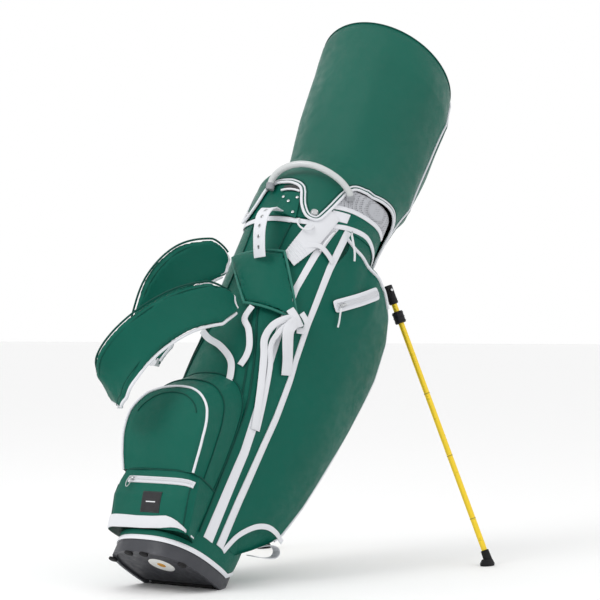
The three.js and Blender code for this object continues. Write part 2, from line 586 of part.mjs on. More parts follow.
const rotation = new THREE.Matrix4().makeRotationY(rad(LEAN));
const footing = hingePoint.clone().applyMatrix4(rotation);
const FLAP_MIDDLE = 34;            // from the hinge line to the middle of the flap, along the floor
bag.rotation.y = rad(LEAN);
bag.position.set(-footing.x - FLAP_MIDDLE, 0, -footing.z);
bag.updateMatrix();
const toBag = bag.matrix.clone().invert();

const pivot = vec(...LEG_PIVOT);
const foot = vec(...LEG_FOOT);
const legLength = pivot.distanceTo(foot);
const stowedDrop = Math.sqrt(legLength ** 2 - (LEG_STOWED[0] - pivot.x) ** 2 - (LEG_STOWED[1] - pivot.y) ** 2);
const open = foot.clone().sub(pivot).normalize();
const stowed = vec(LEG_STOWED[0] - pivot.x, LEG_STOWED[1] - pivot.y, -stowedDrop).normalize();
const hinge = vec(0, 0, 0).crossVectors(open, stowed).normalize();
const along = (from, direction, distance) => from.clone().addScaledVector(direction, distance);

const pinBore = bar(along(pivot, hinge, -40), along(pivot, hinge, 40), PIN_RADIUS + 1.4 + GAP, 12);
const cap = cut(bar(along(pivot, open, -12), along(pivot, open, 30), LEG_CAP_RADIUS, 16), pinBore);
const clampBore = bar(along(pivot, open, 40), along(pivot, open, 90), LEG_RADIUS + GAP, 16);
const clamp = cut(bar(along(pivot, open, 48), along(pivot, open, 74), LEG_CLAMP_RADIUS, 16), clampBore);
const tube = bar(along(pivot, open, 30 + GAP), along(foot, open, -26), LEG_RADIUS, 14);

// The rubber foot: a socket on the tube's end and a sole that sits flat on the floor
const floorFoot = foot.clone().applyMatrix4(bag.matrix);
const sole = loft([[0, 21, 12], [5, 22, 13], [13, 16, 10]].map(([z, halfX, halfY]) => range(14).map((i) => {
  const a = rad((i * 360) / 14);
  return vec(floorFoot.x - 4 + halfX * Math.cos(a), floorFoot.y + 1 + halfY * Math.sin(a), z);
}))).applyMatrix4(toBag);
const socket = bar(along(foot, open, -26 + GAP), along(foot, open, -1), 8.5, 14, 9.5);
const rubberFoot = join(socket, sole);

const ear = cut(bar(along(pivot, hinge, LEG_CAP_RADIUS + 1), along(pivot, hinge, LEG_CAP_RADIUS + 9), 9.5, 12), pinBore);
const arm = cut(bar(vec(142, -38, 800), along(pivot, hinge, LEG_CAP_RADIUS + 5), 7, 10),
  bar(along(pivot, hinge, -40), along(pivot, hinge, 40), 6, 12),
  bar(along(pivot, hinge, -40), along(pivot, hinge, LEG_CAP_RADIUS + 1), 40, 12));
const nearArm = join(ear, arm);
const block = loft([[768, 153], [778, 158], [806, 158], [816, 153]].map(([z, x]) => [
  vec(x - 5, -52, z), vec(x, -40, z), vec(x, 40, z), vec(x - 5, 52, z), vec(118, 52, z), vec(118, -52, z)]));
add('stand_bracket', cut(join(block, nearArm, mirrored(nearArm)), bodyCore), COLOURS.black);

const pin = bar(along(pivot, hinge, -LEG_CAP_RADIUS - 1.5), along(pivot, hinge, LEG_CAP_RADIUS + 10), PIN_RADIUS + 1.4,
  12);
const pieces = [['leg_cap', cap, 'black'], ['leg_tube', tube, 'yellow'], ['leg_clamp', clamp, 'black'],
  ['leg_foot', rubberFoot, 'black'], ['leg_pin', pin, 'steel']];
for (const [name, piece, colour] of pieces) {
  add(`${name}_near`, piece, COLOURS[colour]);
  add(`${name}_far`, mirrored(piece), COLOURS[colour]);
}

const rodFoot = vec(121, 0, floorZ(121) + 12);
const rodHead = vec(148, 0, 742);
add('actuator_rod', bar(rodFoot, rodHead, ROD_RADIUS, 8), COLOURS.steel);
add('leg_yoke', join(bar(vec(150, -46, 752), vec(150, 46, 752), 5, 10), bar(along(rodHead, vec(0, 0, 1), GAP),
  vec(149, 0, 752), 4.5, 10)), COLOURS.black);

export default golfBag;
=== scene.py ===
import math

import bpy
from mathutils import Matrix, Vector, noise


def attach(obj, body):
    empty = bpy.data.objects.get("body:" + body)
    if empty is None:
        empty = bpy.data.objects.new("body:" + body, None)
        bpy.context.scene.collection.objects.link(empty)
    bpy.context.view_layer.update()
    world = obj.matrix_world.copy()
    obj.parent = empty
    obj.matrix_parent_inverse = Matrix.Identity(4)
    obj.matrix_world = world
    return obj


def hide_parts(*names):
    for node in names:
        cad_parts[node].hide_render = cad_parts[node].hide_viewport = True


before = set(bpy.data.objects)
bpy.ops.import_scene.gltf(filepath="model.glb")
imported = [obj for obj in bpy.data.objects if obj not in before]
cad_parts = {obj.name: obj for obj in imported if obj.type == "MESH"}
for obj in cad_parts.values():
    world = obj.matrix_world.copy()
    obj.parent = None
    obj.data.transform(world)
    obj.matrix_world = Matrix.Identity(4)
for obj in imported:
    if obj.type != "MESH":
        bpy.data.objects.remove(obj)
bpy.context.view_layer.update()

# Where the bag is looked at from: level with its middle, from its front near corner, with a long lens.
# It stands on a plain pale floor under two large soft lamps and an even sky.
AIM = Vector((0.3498, 0.0, 0.567))
TURN, TIP = math.radians(53.75), math.radians(-0.84)
away = Vector((-math.sin(TURN) * math.cos(TIP), -math.cos(TURN) * math.cos(TIP), math.sin(TIP)))
bpy.ops.object.camera_add(location=AIM + 4.358 * away, rotation=away.to_track_quat("Z", "Y").to_euler())
camera = bpy.context.object
camera.data.lens, camera.data.sensor_width = 123.7, 36
camera.data.shift_x, camera.data.shift_y = 0.0044, -0.0009
camera.data.clip_end = 200
bpy.context.scene.camera = camera

sky = bpy.data.worlds.new("sky")
sky.use_nodes = True
sky.node_tree.nodes["Background"].inputs["Color"].default_value = (1.0, 1.0, 1.0, 1)
sky.node_tree.nodes["Background"].inputs["Strength"].default_value = 1.0
bpy.context.scene.world = sky
bpy.context.scene.view_settings.view_transform = "Standard"

rightwards = Vector((math.cos(TURN), -math.sin(TURN), 0))
for name, sideways, height, towards, size, power in [
        ("key", -2.6, 3.0, 2.2, 2.0, 62), ("fill", 2.8, 1.4, 2.6, 2.6, 8)]:
    spot = AIM + rightwards * sideways + away * towards + Vector((0, 0, height))
    aimed = (spot - AIM).to_track_quat("Z", "Y").to_euler()
    bpy.ops.object.light_add(type="AREA", location=spot, rotation=aimed)
    bpy.context.object.name = name
    bpy.context.object.data.shape = "DISK"
    bpy.context.object.data.size = size
    bpy.context.object.data.energy = power

bpy.ops.object.select_all(action="DESELECT")
bpy.ops.mesh.primitive_plane_add(size=120)
floor = bpy.context.object
floor.name = "floor"
pale = bpy.data.materials.new("pale_floor")
pale.use_nodes = True
pale.node_tree.nodes["Principled BSDF"].inputs["Base Color"].default_value = (0.92, 0.92, 0.92, 1)
pale.node_tree.nodes["Principled BSDF"].inputs["Roughness"].default_value = 0.7
floor.data.materials.append(pale)


# Base: a tough moulded cup with a rim, in charcoal plastic with a fine cast grain. A rubber flap fills the
# slanted facet and turns on a steel pin; four small feet stand on the lip, and a printed disc is stuck to
# the underside.
LEAN = math.radians(35.3)
BAG = Matrix.Translation((-0.077233, 0, 0.025466)) @ Matrix.Rotation(LEAN, 4, "Y") @ Matrix.Scale(0.001, 4)
TILT = math.tan(math.radians(4.8))
HINGE = 50


def at(x, y, z):
    """A point given in the bag's own upright axes, in millimetres, where it stands in the leaning bag."""
    return BAG @ Vector((x, y, z))


def lerp(a, b, t):
    return a + (b - a) * t


def clamp(t):
    return min(1.0, max(0.0, t))


def ease(t):
    t = clamp(t)
    return t * t * (3 - 2 * t)


def knots(pairs, where):
    """A value read off pairs of place and value, straight between them; a value may be a number or a tuple."""
    if where <= pairs[0][0]:
        return pairs[0][1]
    for (a, first), (b, second) in zip(pairs, pairs[1:]):
        if where <= b:
            t = (where - a) / (b - a)
            if isinstance(first, tuple):
                return tuple(lerp(p, q, t) for p, q in zip(first, second))
            return lerp(first, second, t)
    return pairs[-1][1]


def smooth(points, parts=6):
    """Points along one smooth curve through the given points, which may be tuples of any length."""
    made = []
    for i in range(len(points) - 1):
        four = points[max(i - 1, 0)], points[i], points[i + 1], points[min(i + 2, len(points) - 1)]
        for k in range(parts):
            t = k / parts
            made.append(tuple(
                0.5 * (2 * b + (c - a) * t + (2 * a - 5 * b + 4 * c - d) * t * t + (3 * b - a - 3 * c + d) * t ** 3)
                for a, b, c, d in zip(*four)))
    return made + [tuple(points[-1])]


def nodes_of(material):
    tree = material.node_tree
    return tree, tree.nodes["Principled BSDF"]


def add_node(tree, kind, **values):
    made = tree.nodes.new("ShaderNode" + kind)
    for key, value in values.items():
        if hasattr(made, key):
            setattr(made, key, value)
        else:
            made.inputs[key.replace("_", " ")].default_value = value
    return made


def made_of(name, colour, roughness, blotch=0.08, blotch_scale=9.0, metallic=0.0, coat=0.0, sheen=0.0,
            worn=0.1,
            gloss=0.3):
    """A material whose colour and roughness wander a little over the surface; its grain is added afterwards."""
    material = bpy.data.materials.new(name)
    material.use_nodes = True
    tree, shader = nodes_of(material)
    shader.inputs["Metallic"].default_value = metallic
    shader.inputs["Coat Weight"].default_value = coat
    shader.inputs["Specular IOR Level"].default_value = gloss
    shader.inputs["Sheen Weight"].default_value = sheen
    where = add_node(tree, "TexCoord")
    cloud = add_node(tree, "TexNoise", Scale=blotch_scale, Detail=4.0)
    fine = add_node(tree, "TexNoise", Scale=blotch_scale * 9, Detail=3.0)
    tint = add_node(tree, "MixRGB")
    tint.inputs["Color1"].default_value = (*[c * (1 - blotch) for c in colour], 1)
    tint.inputs["Color2"].default_value = (*[min(1, c * (1 + blotch)) for c in colour], 1)
    shine = add_node(tree, "MapRange")
    shine.inputs["From Min"].default_value, shine.inputs["From Max"].default_value = 0.3, 0.7
    shine.inputs["To Min"].default_value = max(0.05, roughness - worn)
    shine.inputs["To Max"].default_value = min(1.0, roughness + worn)
    tree.links.new(where.outputs["Object"], cloud.inputs["Vector"])
    tree.links.new(where.outputs["Object"], fine.inputs["Vector"])
    tree.links.new(cloud.outputs["Fac"], tint.inputs["Fac"])
    tree.links.new(fine.outputs["Fac"], shine.inputs["Value"])
    tree.links.new(tint.outputs["Color"], shader.inputs["Base Color"])
    tree.links.new(shine.outputs["Result"], shader.inputs["Roughness"])
    return material


def cast_grain(material, scale, depth, strength=0.35):
    """The fine pebbled grain of moulded plastic or rubber."""
    tree, shader = nodes_of(material)
    where = add_node(tree, "TexCoord")
    pebbles = add_node(tree, "TexNoise", Scale=scale, Detail=2.0)
    raised = add_node(tree, "Bump", Strength=strength, Distance=depth)
    tree.links.new(where.outputs["Object"], pebbles.inputs["Vector"])
    tree.links.new(pebbles.outputs["Fac"], raised.inputs["Height"])
    tree.links.new(raised.outputs["Normal"], shader.inputs["Normal"])
    return material


def scuff_edges(material, colour, amount=0.5):
    """Paler wear where the surface turns a corner."""
    tree, shader = nodes_of(material)
    curve = add_node(tree, "NewGeometry")
    ramp = add_node(tree, "MapRange")
    ramp.inputs["From Min"].default_value, ramp.inputs["From Max"].default_value = 0.52, 0.6
    ramp.inputs["To Max"].default_value = amount
    mixed = add_node(tree, "MixRGB")
    old = shader.inputs["Base Color"].links[0].from_socket
    tree.links.new(curve.outputs["Pointiness"], ramp.inputs["Value"])
    tree.links.new(ramp.outputs["Result"], mixed.inputs["Fac"])
    tree.links.new(old, mixed.inputs["Color1"])
    mixed.inputs["Color2"].default_value = (*colour, 1)
    tree.links.new(mixed.outputs["Color"], shader.inputs["Base Color"])
    return material


charcoal = scuff_edges(cast_grain(made_of("charcoal_plastic", (0.042, 0.044, 0.052), 0.45), 900, 0.0004),
                       (0.11, 0.11, 0.12))
black_plastic = scuff_edges(cast_grain(made_of("black_plastic", (0.008, 0.008, 0.010), 0.42, gloss=0.16),
                                       1100, 0.0003),
                            (0.05, 0.05, 0.055))
black_rubber = cast_grain(made_of("black_rubber", (0.010, 0.010, 0.011), 0.7, worn=0.12, gloss=0.2), 700,
                          0.0006, 0.5)
steel = cast_grain(made_of("plated_steel", (0.56, 0.57, 0.58), 0.28, metallic=1.0), 1500, 0.0001, 0.15)
foam_lining = cast_grain(made_of("grey_lining", (0.03, 0.031, 0.034), 0.9, sheen=0.2), 1300, 0.0004, 0.6)


def alone(piece):
    bpy.ops.object.select_all(action="DESELECT")
    piece.select_set(True)
    bpy.context.view_layer.objects.active = piece


def apply(piece, kind, **values):
    """Puts one modifier on a piece and applies it."""
    alone(piece)
    bpy.ops.object.modifier_add(type=kind)
    modifier = piece.modifiers[-1]
    for key, value in values.items():
        setattr(modifier, key, value)
    bpy.ops.object.modifier_apply(modifier=modifier.name)


def dress(piece, material, body, slot, *nodes, angle=38):
    """Gives a finished piece its material and the body it moves with, and hides the CAD nodes it stands for; its
    slot is not used.
    """
    alone(piece)
    bpy.ops.object.shade_smooth_by_angle(angle=math.radians(angle))
    piece.data.materials.clear()
    piece.data.materials.append(material)
    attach(piece, body)
    if nodes:
        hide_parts(*nodes)
    return piece


def sewn(piece, material, *nodes, angle=38):
    """Dresses a piece that rides on the bag; the slot looked up for its material is passed on but not used."""
    slots = {"green_leatherette": "green_leatherette", "green_piping": "green_leatherette",
             "white_leatherette": "white_leatherette", "plated_steel": "steel", "black_fleece_and_painted_shade": "lining",
             "black_plastic": "black_plastic"}
    made_as = material.name.split(".")[0]
    return dress(piece, material, "bag", slots.get(made_as, "white_webbing"), *nodes, angle=angle)


def eased_copy(node, name, material, body, slot, width=0.0008, angle=32):
    """The hard part a CAD node describes, with its edges rounded as a mould leaves them."""
    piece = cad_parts[node].copy()
    piece.data = piece.data.copy()
    for key in [k for k in piece.keys() if k.startswith("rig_")]:
        del piece[key]
    piece.parent = None
    piece.hide_render = False
    piece.name = name
    piece.modifiers.clear()
    bpy.context.collection.objects.link(piece)
    alone(piece)
    bpy.ops.object.mode_set(mode="EDIT")
    bpy.ops.mesh.select_all(action="SELECT")
    bpy.ops.mesh.remove_doubles(threshold=0.00002)
    bpy.ops.mesh.dissolve_limited(angle_limit=math.radians(1))
    bpy.ops.object.mode_set(mode="OBJECT")
    apply(piece, "BEVEL", width=width, segments=3, limit_method="ANGLE", angle_limit=math.radians(angle))
    return dress(piece, material, body, slot, node)


eased_copy("base_cup", "base_cup_moulding", charcoal, "bag", "base_plastic", 0.0012)
eased_copy("floor_flap", "floor_flap_rubber", black_rubber, "flap", "rubber", 0.001)
for node, material in [("flap_hinge_pin", steel), ("base_pad", foam_lining)]:
    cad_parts[node].data.materials.clear()
    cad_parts[node].data.materials.append(material)


def wall_sizes(z):
    k = clamp((z - 66) / 747)
    if z >= 66:
        return lerp(111, 135, k), lerp(103, 136, k), lerp(2.5, 2.1, k)
    low = max(0.0, z / 66)
    return lerp(108, 111, low), lerp(101, 103, low), lerp(2.7, 2.5, low)


def wall(z, angle, off=0.0):
    """(x, y, z) on the bag's wall at a height and an angle; the leatherette lies a little unevenly on its foam."""
    half_x, half_y, power = wall_sizes(z)
    c, s = math.cos(math.radians(angle)), math.sin(math.radians(angle))
    r = (abs(c / (half_x + off)) ** power + abs(s / (half_y + off)) ** power) ** (-1 / power)
    soft = ease((z - 90) / 120) * ease((770 - z) / 90)
    r += 1.5 * soft * noise.noise(Vector((c * 1.6, s * 1.6, z / 150)))
    return c * r, s * r, z


def base_edge(x):
    """Height of the base's underside: level with a slight tilt, then up along the floor past the hinge."""
    along_floor = (x - HINGE) * math.tan(LEAN) + HINGE * TILT
    return max(x * TILT, along_floor)


def above_base(angle, off, height):
    x, y, z = wall(66, angle, off)
    for _ in range(3):
        x, y, z = wall(base_edge(x) + height, angle, off)
    return x, y, z


def skin(name, across, along, place, thickness=0.0, offset=-1.0, wrap=False, close=False, bevel=0.0,
         flip=None):
    """A grid whose points are placed one by one over the real surface, given its wall and rounded edges.
    Its map is in metres, so that a weave keeps its size. It faces away from the bag's axis."""
    bpy.ops.object.select_all(action="DESELECT")
    bpy.ops.mesh.primitive_grid_add(x_subdivisions=across, y_subdivisions=along, size=1)
    piece = bpy.context.object
    piece.name = name
    mesh = piece.data
    middle_row, middle_column = {}, {}
    for vertex in mesh.vertices:
        u, v = vertex.co.x + 0.5, vertex.co.y + 0.5
        i, j = round(u * across), round(v * along)
        vertex.co = at(*place(u, v))
        if j == along // 2:
            middle_row[i] = vertex.co.copy()
        if i == across // 2:
            middle_column[j] = vertex.co.copy()
    wide = sum((middle_row[i + 1] - middle_row[i]).length for i in range(across))
    long = sum((middle_column[j + 1] - middle_column[j]).length for j in range(along))
    for loop in mesh.uv_layers.active.data:
        loop.uv = (loop.uv[0] * wide, loop.uv[1] * long)
    mesh.update()
    axis = BAG.to_3x3() @ Vector((0, 0, 1000))
    start = at(0, 0, 0)
    outwards = 0.0
    for face in mesh.polygons:
        arm = face.center - start
        outwards += face.area * face.normal.dot(arm - axis * arm.dot(axis))
    alone(piece)
    bpy.ops.object.mode_set(mode="EDIT")
    bpy.ops.mesh.select_all(action="SELECT")
    if (outwards < 0) if flip is None else flip:
        bpy.ops.mesh.flip_normals()
    if wrap:
        bpy.ops.mesh.remove_doubles(threshold=0.00005)
    if close:
        bpy.ops.mesh.select_all(action="DESELECT")
        bpy.ops.mesh.select_mode(type="EDGE")
        bpy.ops.mesh.select_non_manifold(extend=False)
        bpy.ops.mesh.fill_holes(sides=0)
        bpy.ops.mesh.select_all(action="SELECT")
        bpy.ops.mesh.normals_make_consistent(inside=False)
        bpy.ops.mesh.select_mode(type="VERT")
    bpy.ops.object.mode_set(mode="OBJECT")
    if thickness:
        apply(piece, "SOLIDIFY", thickness=thickness / 1000, offset=offset, use_even_offset=True)
    if bevel:
        apply(piece, "BEVEL", width=bevel / 1000, segments=2, limit_method="ANGLE",
              angle_limit=math.radians(50))
    return piece


def tube(name, points, radius, closed=False, fine=2):
    """A round run of piping, rod or wire through points in the bag's axes."""
    bpy.ops.object.select_all(action="DESELECT")
    bpy.ops.curve.primitive_bezier_curve_add(radius=0.01)
    piece = bpy.context.object
    piece.name = name
    line = piece.data
    line.splines.clear()
    spline = line.splines.new("POLY")
    spline.points.add(len(points) - 1)
    for point, place in zip(spline.points, points):
        point.co = (*at(*place), 1)
    spline.use_cyclic_u = closed
    line.dimensions, line.bevel_depth, line.bevel_resolution = "3D", radius / 1000, fine
    line.use_fill_caps = not closed
    bpy.ops.object.convert(target="MESH")
    return bpy.context.object


def disc(name, centre, out, radius, thickness, sides=28, rim=0.4):
    """A flat round piece whose back lies at centre and whose face looks along out, with a rounded rim."""
    bpy.ops.object.select_all(action="DESELECT")
    bpy.ops.mesh.primitive_cylinder_add(vertices=sides, radius=radius / 1000, depth=thickness / 1000)
    piece = bpy.context.object
    piece.name = name
    direction = (BAG.to_3x3() @ Vector(out)).normalized()
    turn = direction.to_track_quat("Z", "Y").to_matrix().to_4x4()
    place = Matrix.Translation(at(*centre) + direction * thickness / 2000)
    piece.data.transform(place @ turn)
    piece.matrix_world = Matrix.Identity(4)
    apply(piece, "BEVEL", width=rim / 1000, segments=3, limit_method="ANGLE", angle_limit=math.radians(50))
    return piece


for count, angle in enumerate([-170, -128, 128, 170]):
    x, y, z = above_base(angle, 1.0, 5.5)
    foot = disc(f"base_foot_{count}", (x * 0.97, y * 0.97, z - 6.5), (TILT, 0, -1), 9, 4.5, rim=1.4)
    dress(foot, black_rubber, "bag", "rubber")
sticker_print = made_of("printed_disc", (0.82, 0.83, 0.8), 0.5)
sticker = disc("underside_disc", (-40, -12, base_edge(-40) + 4.9), (TILT, 0, -1), 27, 0.5, sides=48, rim=0.1)
dress(sticker, sticker_print, "bag", "white_leatherette")
accent = made_of("ochre_print", (0.62, 0.3, 0.03), 0.5)
dress(disc("underside_disc_centre", (-40, -12, base_edge(-40) + 4.4), (TILT, 0, -1), 9, 0.3, sides=36,
           rim=0.1),
      accent, "bag", "white_leatherette")


# Body: a tapering tube of green leatherette on foam, wrapped over steel stays and sewn down its
# panels. Stripes of white leatherette are sewn up each side, and thin piping of the body's own green covers
# the seams between them.
GREEN = (0.0, 0.096, 0.066)
WHITE = (0.69, 0.70, 0.735)


def leather_grain(material, cells=620, depth=0.0005, strength=0.45):
    """Small irregular cells with creases between them, as pressed into leatherette."""
    tree, shader = nodes_of(material)
    where = add_node(tree, "TexCoord")
    cell = add_node(tree, "TexVoronoi", Scale=cells)
    cell.feature = "DISTANCE_TO_EDGE"
    crease = add_node(tree, "MapRange")
    crease.inputs["From Max"].default_value = 0.22
    raised = add_node(tree, "Bump", Strength=strength, Distance=depth)
    swell = add_node(tree, "TexNoise", Scale=34.0, Detail=2.0)
    soft = add_node(tree, "Bump", Strength=0.3, Distance=0.0015)
    tree.links.new(where.outputs["Object"], cell.inputs["Vector"])
    tree.links.new(where.outputs["Object"], swell.inputs["Vector"])
    tree.links.new(cell.outputs["Distance"], crease.inputs["Value"])
    tree.links.new(crease.outputs["Result"], raised.inputs["Height"])
    tree.links.new(swell.outputs["Fac"], soft.inputs["Height"])
    tree.links.new(soft.outputs["Normal"], raised.inputs["Normal"])
    tree.links.new(raised.outputs["Normal"], shader.inputs["Normal"])
    return material


green_leather = leather_grain(made_of("green_leatherette", GREEN, 0.44, blotch=0.14, blotch_scale=6,
                                      gloss=0.16))
green_piping = leather_grain(made_of("green_piping", (0.0, 0.055, 0.040), 0.45, gloss=0.16), 900, 0.0003)
white_leather = leather_grain(made_of("white_leatherette", WHITE, 0.5, blotch=0.03, worn=0.06), 800, 0.0003,
                              0.3)


def body_foot(x):
    return base_edge(x) + 35.35


def cuff_foot(x):
    return 813 + 0.24 * x


def tube_wall(off, foot=body_foot, head=lambda x: cuff_foot(x) - 0.35):
    """Points of a sleeve on the wall, from one sloping edge up to another."""
    def place(u, v):
        angle = 360 * u
        x, y, z = wall(200, angle, off)
        for _ in range(3):
            x, y, z = wall(lerp(foot(x), head(x), v), angle, off)
        return x, y, z
    return place


sewn(skin("body_panels", 120, 90, tube_wall(0), 4, wrap=True), green_leather, "body_tube")

sewn(skin("base_trim", 120, 6, lambda u,
          v: above_base(360 * u, 1.4 + 1.0 * math.sin(math.pi * v), 26.4 + 9.6 * v), 4,
           wrap=True), white_leather, "base_trim_band")

# the green strip above the trim, edged by a seam, laps over the foot of every panel
foot_seam = [(-180, 63), (-160, 60), (-141, 58), (-122, 59), (-103, 63), (-71, 77), (-50, 104), (-44, 117),
             (-30, 128), (0, 134)]


def strip_head(angle):
    around = -abs((angle + 180) % 360 - 180)
    return knots(foot_seam, around)


def foot_strip(u, v):
    angle = 360 * u
    low = above_base(angle, 1.2, 36.5)
    z = lerp(low[2], max(strip_head(angle), low[2] + 6), v)
    return wall(z, angle, 1.2 + 0.8 * math.sin(math.pi * v))


sewn(skin("foot_strip", 120, 8, foot_strip, 1.6, wrap=True, bevel=0.5), green_leather)

WIDE_STRIPE = [(61, (-119.1, -106.2)), (171, (-119.5, -108.7)), (256, (-119.6, -110)),
               (372, (-125.5, -116.5)),
               (442, (-131.5, -124)), (540, (-134.8, -128.3)), (625, (-135, -129.2)), (713, (-131.3, -125)),
               (768, (-127, -120.5)), (806, (-123, -116.5))]
NARROW_STRIPE = [(64, (-100, -88.9)), (170, (-101.2, -91.5)), (266, (-100.8, -92.4)), (357, (-101, -93)),
                 (445, (-103.9, -97)), (490, (-107.1, -100.9)), (572, (-111.3, -105)),
                 (705, (-113.9, -107.2)),
                 (789, (-112.6, -105.8)), (812, (-112, -105))]


def stripe_place(table, side, off, low, high):
    def place(u, v):
        z = lerp(low, high, v)
        left, right = knots(table, z)
        crown = 0.5 * math.sin(math.pi * u)
        return wall(z, -side * lerp(left, right, u), off + crown)
    return place


for side, hand in [(-1, "near"), (1, "far")]:
    sewn(skin(f"wide_stripe_{hand}", 6, 110, stripe_place(WIDE_STRIPE, side, 0.9, 62, 806), 1.4, bevel=0.35),
          white_leather)
    sewn(skin(f"narrow_stripe_{hand}", 6, 110, stripe_place(NARROW_STRIPE, side, 2.2, 66, 806), 2.4,
              bevel=0.35),
          white_leather)
    seams = [[(66, -125.5), (187, -127.2), (290, -129.5), (353, -132), (433, -140.6), (483, -147),
              (540, -155),
              (600, -159), (700, -160), (790, -158)],
             [(350, -138), (433, -146.5), (483, -153), (540, -160), (590, -163)]]
    for count, seam in enumerate(seams):
        line = [wall(z, -side * angle, 1.0) for z, angle in smooth(seam, 8)]
        sewn(tube(f"panel_piping_{hand}_{count}", line, 1.9), green_piping)


# Stitching: short stitches of bonded thread, one capsule each, run beside the seams of stripes, bands and
# pockets.
thread_white = cast_grain(made_of("white_thread", (0.74, 0.75, 0.76), 0.6, sheen=0.3), 2600, 0.0002)
thread_green = cast_grain(made_of("green_thread", (0.0, 0.045, 0.033), 0.6, sheen=0.3), 2600, 0.0002)


def stitches(name, points, body, material, slot, every=5.2, size=3.2):
    """Stitches laid end to end along a line of points in the bag's axes."""
    bpy.ops.object.select_all(action="DESELECT")
    bpy.ops.mesh.primitive_uv_sphere_add(segments=6, ring_count=4, radius=0.5)
    piece = bpy.context.object
    piece.name = name
    one = [v.co.copy() for v in piece.data.vertices]
    faces = [tuple(f.vertices) for f in piece.data.polygons]
    line = [at(*p) for p in points]
    corners, quads, gone, due = [], [], 0.0, 0.0
    for a, b in zip(line, line[1:]):
        length = (b - a).length
        while due <= gone + length and length > 0:
            middle = a.lerp(b, (due - gone) / length)
            turn = (b - a).to_track_quat("X", "Z").to_matrix()
            start = len(corners)
            corners += [middle + turn @ Vector((p.x * size, p.y * 0.8, p.z * 0.8)) / 1000 for p in one]
            quads += [tuple(i + start for i in f) for f in faces]
            due += every / 1000
        gone += length
    piece.data.clear_geometry()
    piece.data.from_pydata([tuple(c) for c in corners], [], quads)
    return dress(piece, material, body, slot)


for side, hand in [(-1, "near"), (1, "far")]:
    for label, table, off in [("wide", WIDE_STRIPE, 1.0), ("narrow", NARROW_STRIPE, 2.3)]:
        for edge, inset in [(0, 0.8), (1, -0.8)]:
            run = [wall(z, -side * (knots(table, z)[edge] + inset), off) for z in range(66, 800, 12)]
            stitches(f"{label}_stitches_{hand}_{edge}", run, "bag", thread_white, "white_webbing")


# Apparel pockets: one long padded pocket on each side, its skin drawn tight from the narrow stripe to a
# back edge bound in white piping. A white binding arches over the leg-side foot, where the panel is cut
# away.
POCKET_EDGE = [(78, 44), (110, 80), (153, 122), (175, 138), (261, 162), (357, 181), (462, 197), (539, 206),
               (605, 211),
               (686, 196), (735, 171), (766, 140), (784, 110)]
POCKET_BULGE = [(78, 3), (153, 15), (261, 28), (400, 36), (560, 38), (686, 32), (740, 22), (784, 8)]
ARCH = [(6, 64), (20, 106), (42, 138), (64, 156), (92, 167), (130, 172), (150, 170)]


def wall_y(x, z):
    half_x, half_y, power = wall_sizes(z)
    return half_y * (1 - min(1, abs(x) / half_x) ** power) ** (1 / power)


def pocket_start(z):
    return -(knots(NARROW_STRIPE, z)[1] + 0.3)


pocket_rows = {}


def pocket_row(z):
    """Where the skin lies at one height: pairs of x and y from the front seam to the back edge, for the far side."""
    key = round(z, 1)
    if key not in pocket_rows:
        bulge, edge = knots(POCKET_BULGE, z), knots(POCKET_EDGE, z)
        _, side, _ = wall_sizes(z)
        room = lerp(80, 108, clamp((z - 185) / 615))
        first = wall(z, pocket_start(z), 0.4)
        far = max(room + 6, side + bulge * 0.35 - max(0, edge - 150) * 0.1)
        shoulder = min(edge * 0.55, 95)
        line = [(first[0], first[1]), (lerp(first[0], shoulder, 0.3), side + 1 + 0.34 * bulge),
                (lerp(first[0], shoulder, 0.62), side + 1 + 0.74 * bulge), (shoulder, side + 0.93 * bulge),
                (lerp(shoulder, edge, 0.6), lerp(side + bulge, far, 0.42)), (edge, far)]
        pocket_rows[key] = smooth(line, 8)
    return pocket_rows[key]


def pocket_y(x, z):
    row = pocket_row(z)
    y = knots([(p[0], p[1]) for p in row], x)
    under = knots(ARCH, x) - z
    y -= 9 * ease(under / 16) * ease((140 - x) / 30)
    slack = ease((z - 100) / 80) * ease((800 - z) / 60)
    y += slack * 2.4 * noise.noise(Vector((x / 75, 7.3, z / 120)))
    folds = ease((z - 640) / 90)
    y += 2.6 * folds * math.sin(x / 11.5 + 0.012 * (z - 700)) * ease((x + 25) / 30) * ease((120 - x) / 40)
    return y


def pocket_ring(side):
    def place(u, v):
        z = lerp(78, 784, v)
        row = pocket_row(z)
        low, high = row[0][0], row[-1][0]
        room = lerp(80, 108, clamp((z - 185) / 615))
        far = row[-1][1]
        if u <= 0.7:
            x = lerp(low, high, (u / 0.7) ** 0.9)
            return x, side * pocket_y(x, z), z
        back = (u - 0.7) / 0.3
        turn = [(0.0, (high, far)), (0.08, (high - 1.5, far - 5)),
                (0.14, (high - 6, max(room + 3, far - 10))),
                (0.4, (high - 38, room)), (0.6, (lerp(high - 38, low, 0.5), room - 4)), (1.0, (low, room))]
        x, y = knots(turn, back)
        y = max(y, wall_y(x, z) + 0.5) if x < 134 else y
        return x, side * y, z
    return place


